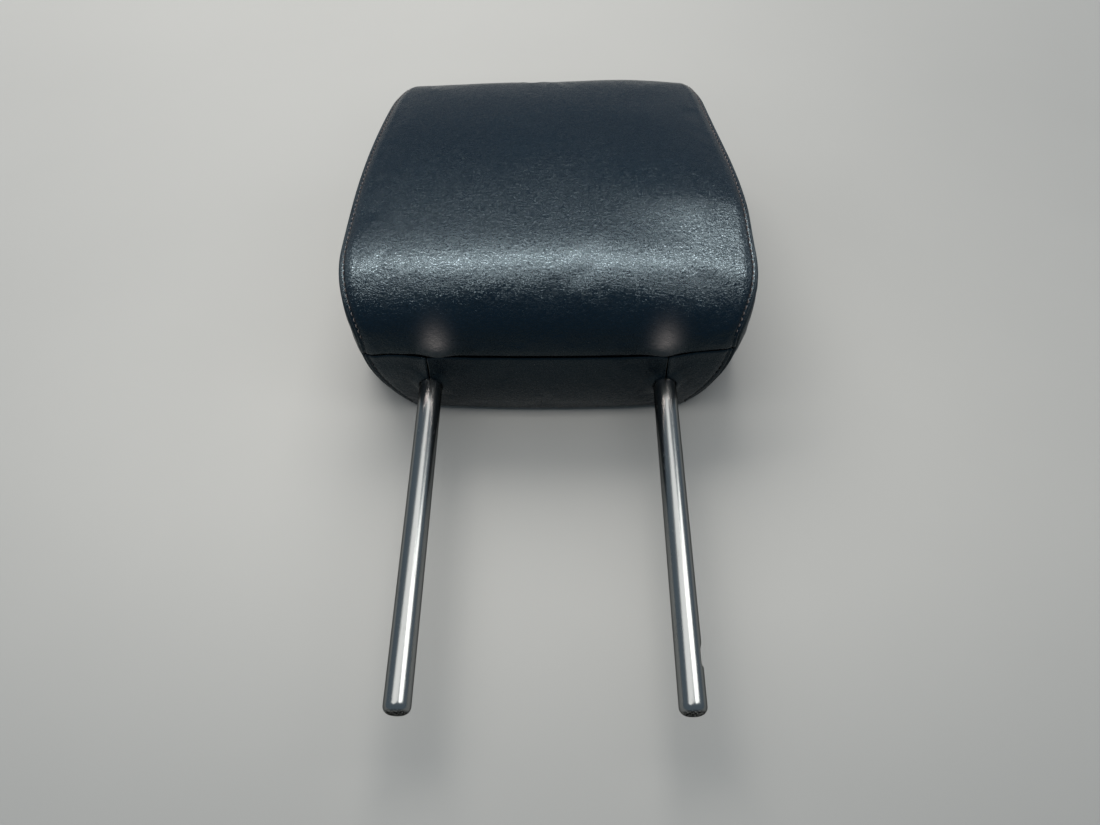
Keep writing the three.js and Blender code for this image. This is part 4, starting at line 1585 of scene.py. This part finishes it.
@dataclass(frozen=True)
class Chrome:
    """Bright plating with fine lengthwise scuffs, and near-black end faces on the tips with paler specks."""

    name: str = "plated_chrome"
    colour: Colour = (0.27, 0.28, 0.28, 1.0)
    scuffed_colour: Colour = (0.20, 0.20, 0.195, 1.0)
    edge_tint: Colour = (0.25, 0.25, 0.25, 1.0)
    # near black on the tips' end faces, with paler specks of the next colour in noise peaks
    end_colour: Colour = (0.03, 0.03, 0.03, 1.0)
    speck_colour: Colour = (0.40, 0.40, 0.38, 1.0)
    roughness: float = 0.22
    scuffed_roughness: float = 0.40
    end_roughness: float = 0.45
    end_from: float = -0.2272  # the tips' end faces, in Y
    end_to: float = -0.2258
    speck_scale: float = 1100.0
    speck_peaks: Span = (0.50, 0.62)
    scuffs: float = 0.8
    scuff_depth: float = 0.000004

    def build(self) -> bpy.types.Material:
        """Wires the finish.

        Returns:
            The material.
        """
        material, w, shader, place = new_material(self.name)
        scuffs = w.effect(EFFECTS.scuffs, place, Amount=self.scuffs).outputs
        along = w.add("ShaderNodeSeparateXYZ", {0: place}).outputs["Y"]
        end = w.fit(along, self.end_from, self.end_to, 1.0, 0.0)
        specks = w.fit(w.noise(place, self.speck_scale, 2.0), *self.speck_peaks)
        tint = w.blend(scuffs["Mask"], self.colour, self.scuffed_colour)
        rough = w.fit(scuffs["Mask"], 0.0, 1.0, self.roughness, self.scuffed_roughness)
        w.feed(shader, {
            "Base Color": w.blend(end, tint, w.blend(specks, self.end_colour, self.speck_colour)),
            "Metallic": 1.0,
            "Roughness": w.math("MAXIMUM", rough, w.math("MULTIPLY", end, self.end_roughness)),
            "Specular Tint": self.edge_tint,
            "Normal": w.relief(scuffs["Height"], self.scuff_depth),
        })
        return material


@dataclass(frozen=True)
class Plain:
    """A finish of two tones in soft patches: moulded plastic, thread, bare steel or foam."""

    name: str
    colour: Colour
    second_colour: Colour
    roughness: float
    second_roughness: float
    patch_scale: float
    relief_scale: float
    relief_depth: float
    metallic: float = 0.0

    def build(self) -> bpy.types.Material:
        """Wires the finish.

        Returns:
            The material.
        """
        material, w, shader, place = new_material(self.name)
        mask = w.effect(EFFECTS.wear, place, Scale=self.patch_scale).outputs["Mask"]
        w.feed(shader, {
            "Base Color": w.blend(mask, self.colour, self.second_colour),
            "Metallic": self.metallic,
            "Roughness": w.fit(mask, 0.0, 1.0, self.roughness, self.second_roughness),
            "Normal": w.relief(w.noise(place, self.relief_scale), self.relief_depth),
        })
        return material


THREAD = Plain(
    "sewing_thread", colour=(0.022, 0.023, 0.025, 1.0), second_colour=(0.040, 0.041, 0.043, 1.0),
    roughness=0.75, second_roughness=0.6, patch_scale=160.0, relief_scale=5200.0, relief_depth=0.00008)
STRIP_PLASTIC = Plain(
    "strip_plastic", colour=(0.012, 0.013, 0.014, 1.0), second_colour=(0.02, 0.021, 0.022, 1.0),
    roughness=0.4, second_roughness=0.5, patch_scale=40.0, relief_scale=700.0, relief_depth=0.00002)
SEAT_FOAM = Plain(
    "moulded_foam", colour=(0.57, 0.48, 0.23, 1.0), second_colour=(0.50, 0.41, 0.19, 1.0),
    roughness=0.95, second_roughness=0.9, patch_scale=30.0, relief_scale=900.0, relief_depth=0.0005)
BARE_STEEL = Plain(
    "bare_steel", colour=(0.3, 0.3, 0.31, 1.0), second_colour=(0.2, 0.19, 0.18, 1.0),
    roughness=0.42, second_roughness=0.62, patch_scale=24.0, relief_scale=600.0, relief_depth=0.00003, metallic=1.0)


def dress(piece: bpy.types.Object, finish: bpy.types.Material, slot: Slot, *nodes: str) -> None:
    """Puts a finish on a new piece, ties it to the frame and reports it.

    Args:
        piece: the new object.
        finish: its material.
        slot: the record's slot that the finish belongs to; not used.
        nodes: the CAD nodes that the piece stands for.
    """
    piece.data.materials.append(finish)
    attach(piece, "root")
    if nodes:
        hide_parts(*nodes)
    log.info("%s: %d faces", piece.name, len(piece.data.polygons))


# What is inside


@dataclass(frozen=True)
class Foam:
    """The moulded foam: the CAD node's own shape, pressed out of true as the leather over it is."""

    form: PadForm
    node: str = "foam_core"
    fill: float = 1.0
    merge_distance: float = 0.00001
    squeeze: float = 0.0034  # how far the side panels press it in, past the first of these widths
    squeeze_from: Span = (0.070, 0.100)

    def pressed(self, place: Array) -> Array:
        """The foam as the leather presses it.

        Args:
            place: the node's points.

        Returns:
            The points drawn in at both sides by a soft step of the width, then leaned as the leather is.
        """
        squeeze = self.squeeze * smooth_step(np.abs(place[:, 0]), *self.squeeze_from)
        drawn = place - np.sign(place) * squeeze[:, None] * np.array([1.0, 0.0, 0.0])
        return self.form.leaning(drawn)

    def build(self, finish: bpy.types.Material) -> None:
        """Copies the node's mesh, merges its loose triangles, presses it into the cover and dresses it.

        Args:
            finish: the foam's material.
        """
        core = bmesh.new()
        core.from_mesh(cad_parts[self.node].data)
        bmesh.ops.remove_doubles(core, verts=core.verts, dist=self.merge_distance)
        mesh = bpy.data.meshes.new("foam_body")
        core.to_mesh(mesh)
        core.free()
        place = np.empty(3 * len(mesh.vertices))
        mesh.vertices.foreach_get("co", place)
        mesh.vertices.foreach_set("co", self.pressed(place.reshape(-1, 3)).ravel())
        mesh.update()
        body = bpy.data.objects.new("foam_body", mesh)
        bpy.context.scene.collection.objects.link(body)
        dress(body, finish, Slot.FOAM, self.node)


@dataclass(frozen=True)
class InnerParts:
    """The pieces whose CAD shape is right as it is: the strips, the plate and the wire."""

    strips: tuple[str, ...] = ("closure_hook_left", "closure_hook_middle", "closure_hook_right", "closure_rail")
    steel: tuple[str, ...] = ("support_plate", "foam_wire")

    def build(self) -> None:
        """Gives each node its finish."""
        finishes = {name: STRIP_PLASTIC for name in self.strips}
        finishes |= {name: BARE_STEEL for name in self.steel}
        made = {finish.name: finish.build() for finish in set(finishes.values())}
        for name, finish in finishes.items():
            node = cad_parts[name]
            node.data.materials.clear()
            node.data.materials.append(made[finish.name])
            log.info("%s: dressed as %s", name, finish.name)


# Floor, light and camera


class Reach(Enum):
    """What a light falls on."""

    FLOOR = "floor"
    PAD = "pad"
    POSTS = "posts"
    FLOOR_AND_PAD = "floor and pad"


@dataclass(frozen=True)
class SoftLight:
    """A rectangular soft light: its middle, its width and height in metres, its power, its reach and its colour."""

    name: str
    place: tuple[float, float, float]
    size: Span
    watts: float
    reach: Reach
    colour: tuple[float, float, float] = (1.0, 1.0, 1.0)


SOFT_LIGHTS = (
    SoftLight("overhead", (0.0, 0.39, 1.60), (2.6, 0.24), 116.0, Reach.PAD, (1.0, 0.84, 0.77)),
    SoftLight("behind", (0.0, 1.00, 1.50), (2.2, 0.7), 3.0, Reach.PAD, (1.0, 0.94, 0.90)),
    SoftLight("left", (-1.35, 0.55, 0.80), (0.9, 0.9), 3.4, Reach.FLOOR_AND_PAD),
    SoftLight("right", (1.45, 0.60, 0.75), (0.9, 0.9), 2.8, Reach.FLOOR_AND_PAD),
    SoftLight("post_bright", (0.72, 0.26, 1.15), (0.50, 0.8), 6.5, Reach.POSTS, (1.0, 0.98, 0.94)),
    SoftLight("post_dim", (-0.22, 0.30, 1.40), (1.6, 0.8), 9.0, Reach.POSTS, (1.0, 0.96, 0.91)),
    SoftLight("back_wash", (-0.25, 1.00, 1.10), (1.4, 0.8), 22.0, Reach.FLOOR, (1.0, 0.98, 0.94)),
    SoftLight("front_wash", (0.0, -0.08, 0.30), (0.7, 0.12), 0.65, Reach.FLOOR, (1.0, 0.98, 0.94)),
)


@dataclass(frozen=True)
class Studio:
    """A plain pale floor, soft lights and a camera at the photograph's view."""

    floor_size: float = 4.0
    floor_darker: float = 0.93  # the darker patches' share of the floor's colour
    floor_patches: float = 5.0
    floor_roughness: float = 0.62
    floor_colour: Colour = (0.43, 0.42, 0.40, 1.0)
    room_colour: Colour = (0.66, 0.84, 1.0, 1.0)
    room_strength: float = 0.29
    light_aim: tuple[float, float, float] = (0.0, 0.0, 0.05)
    focal_pixels: float = 826.0
    image_width: float = 1100.0
    sensor: float = 36.0
    clip_start: float = 0.01
    eye: tuple[float, float, float] = (0.0084, -0.3301, 0.4468)
    yaw: float = -1.397  # in degrees, as the pitch and the roll are
    pitch: float = 55.914
    roll: float = -1.281

    def floor(self) -> bpy.types.Object:
        """The floor, just under the headrest.

        Returns:
            One square at height 0.
        """
        half = self.floor_size / 2
        corners = np.array([[-half, -half, 0.0], [half, -half, 0.0], [half, half, 0.0], [-half, half, 0.0]])
        floor = make_piece("floor", corners, [[0, 1, 2, 3]])
        material, w, shader, place = new_material("pale_floor")
        tone = w.noise(place, self.floor_patches, 4.0)
        darker = (*(self.floor_darker * part for part in self.floor_colour[:3]), 1.0)
        w.feed(shader, {
            "Base Color": w.blend(tone, self.floor_colour, darker),
            "Roughness": self.floor_roughness,
        })
        floor.data.materials.append(material)
        return floor

    def soft_light(self, light: SoftLight, lit: dict[Reach, list[bpy.types.Object]]) -> None:
        """A rectangular soft light that faces the pad and falls on what it is meant for.

        Args:
            light: its place, size, power, reach and colour.
            lit: for each reach the objects that such a light falls on.
        """
        data = bpy.data.lights.new(light.name, "AREA")
        data.shape = "RECTANGLE"
        data.size, data.size_y = light.size
        data.energy = light.watts
        data.color = light.colour
        lamp = bpy.data.objects.new(light.name, data)
        bpy.context.scene.collection.objects.link(lamp)
        lamp.location = light.place
        aim = Vector(self.light_aim) - lamp.location
        lamp.rotation_euler = aim.to_track_quat("-Z", "Y").to_euler()
        lamp.visible_camera = False
        group = bpy.data.collections.new(f"{light.name}_reach")
        for piece in lit[light.reach]:
            group.objects.link(piece)
        lamp.light_linking.receiver_collection = group

    def lights(self, pad: list[bpy.types.Object], posts: list[bpy.types.Object]) -> None:
        """All soft lights and a dim bluish room.

        Args:
            pad: the leather and its stitches.
            posts: the chromed tube.
        """
        floor = self.floor()
        lit = {Reach.FLOOR: [floor], Reach.PAD: pad, Reach.POSTS: posts, Reach.FLOOR_AND_PAD: [floor, *pad]}
        for light in SOFT_LIGHTS:
            self.soft_light(light, lit)
        world = bpy.data.worlds.new("room")
        world.use_nodes = True
        background = world.node_tree.nodes["Background"]
        background.inputs["Color"].default_value = self.room_colour
        background.inputs["Strength"].default_value = self.room_strength
        bpy.context.scene.world = world

    def camera(self) -> None:
        """The camera: turned by yaw, pitch and roll, in degrees, with the photograph's focal length."""
        yaw, pitch, roll = np.radians([self.yaw, self.pitch, self.roll])
        ahead = Vector((np.sin(yaw) * np.cos(pitch), np.cos(yaw) * np.cos(pitch), -np.sin(pitch)))
        level = Vector((np.cos(yaw), -np.sin(yaw), 0.0))
        upright = level.cross(ahead)
        right = np.cos(roll) * level + np.sin(roll) * upright
        up = -np.sin(roll) * level + np.cos(roll) * upright
        data = bpy.data.cameras.new("view")
        data.sensor_fit = "HORIZONTAL"
        data.sensor_width = self.sensor
        data.lens = self.focal_pixels / self.image_width * self.sensor
        data.clip_start = self.clip_start
        camera = bpy.data.objects.new("view", data)
        turn = Matrix((right, up, -ahead)).transposed().to_4x4()
        camera.matrix_world = Matrix.Translation(Vector(self.eye)) @ turn
        bpy.context.scene.collection.objects.link(camera)
        bpy.context.scene.camera = camera

    def build(self, pad: list[bpy.types.Object], posts: list[bpy.types.Object]) -> None:
        """Sets the stage around the headrest.

        Args:
            pad: the leather and its stitches.
            posts: the chromed tube.
        """
        self.camera()
        self.lights(pad, posts)
        bpy.context.scene.view_settings.view_transform = "Standard"


def main() -> None:
    """Builds the cover, its stitches, the posts, what is inside and the stage around them."""
    logging.basicConfig(level=logging.INFO, format="%(name)s %(message)s")
    form = PadForm()
    sizes = PostSizes()
    keyholes = Keyholes(sizes.x, sizes.height, sizes.radius + sizes.hole_clearance)
    cover = Cover(form, keyholes, Stuffing(form, sizes))
    pad = cover.build(Leather("centre_leather").build(), Leather("side_leather", roughness=0.5).build())
    pad += Topstitching(cover).build(THREAD.build())
    tube = Posts(sizes, form).build(Chrome().build())
    Foam(form).build(SEAT_FOAM.build())
    InnerParts().build()
    Studio().build(pad, [tube])


if __name__ == "__main__":
    main()
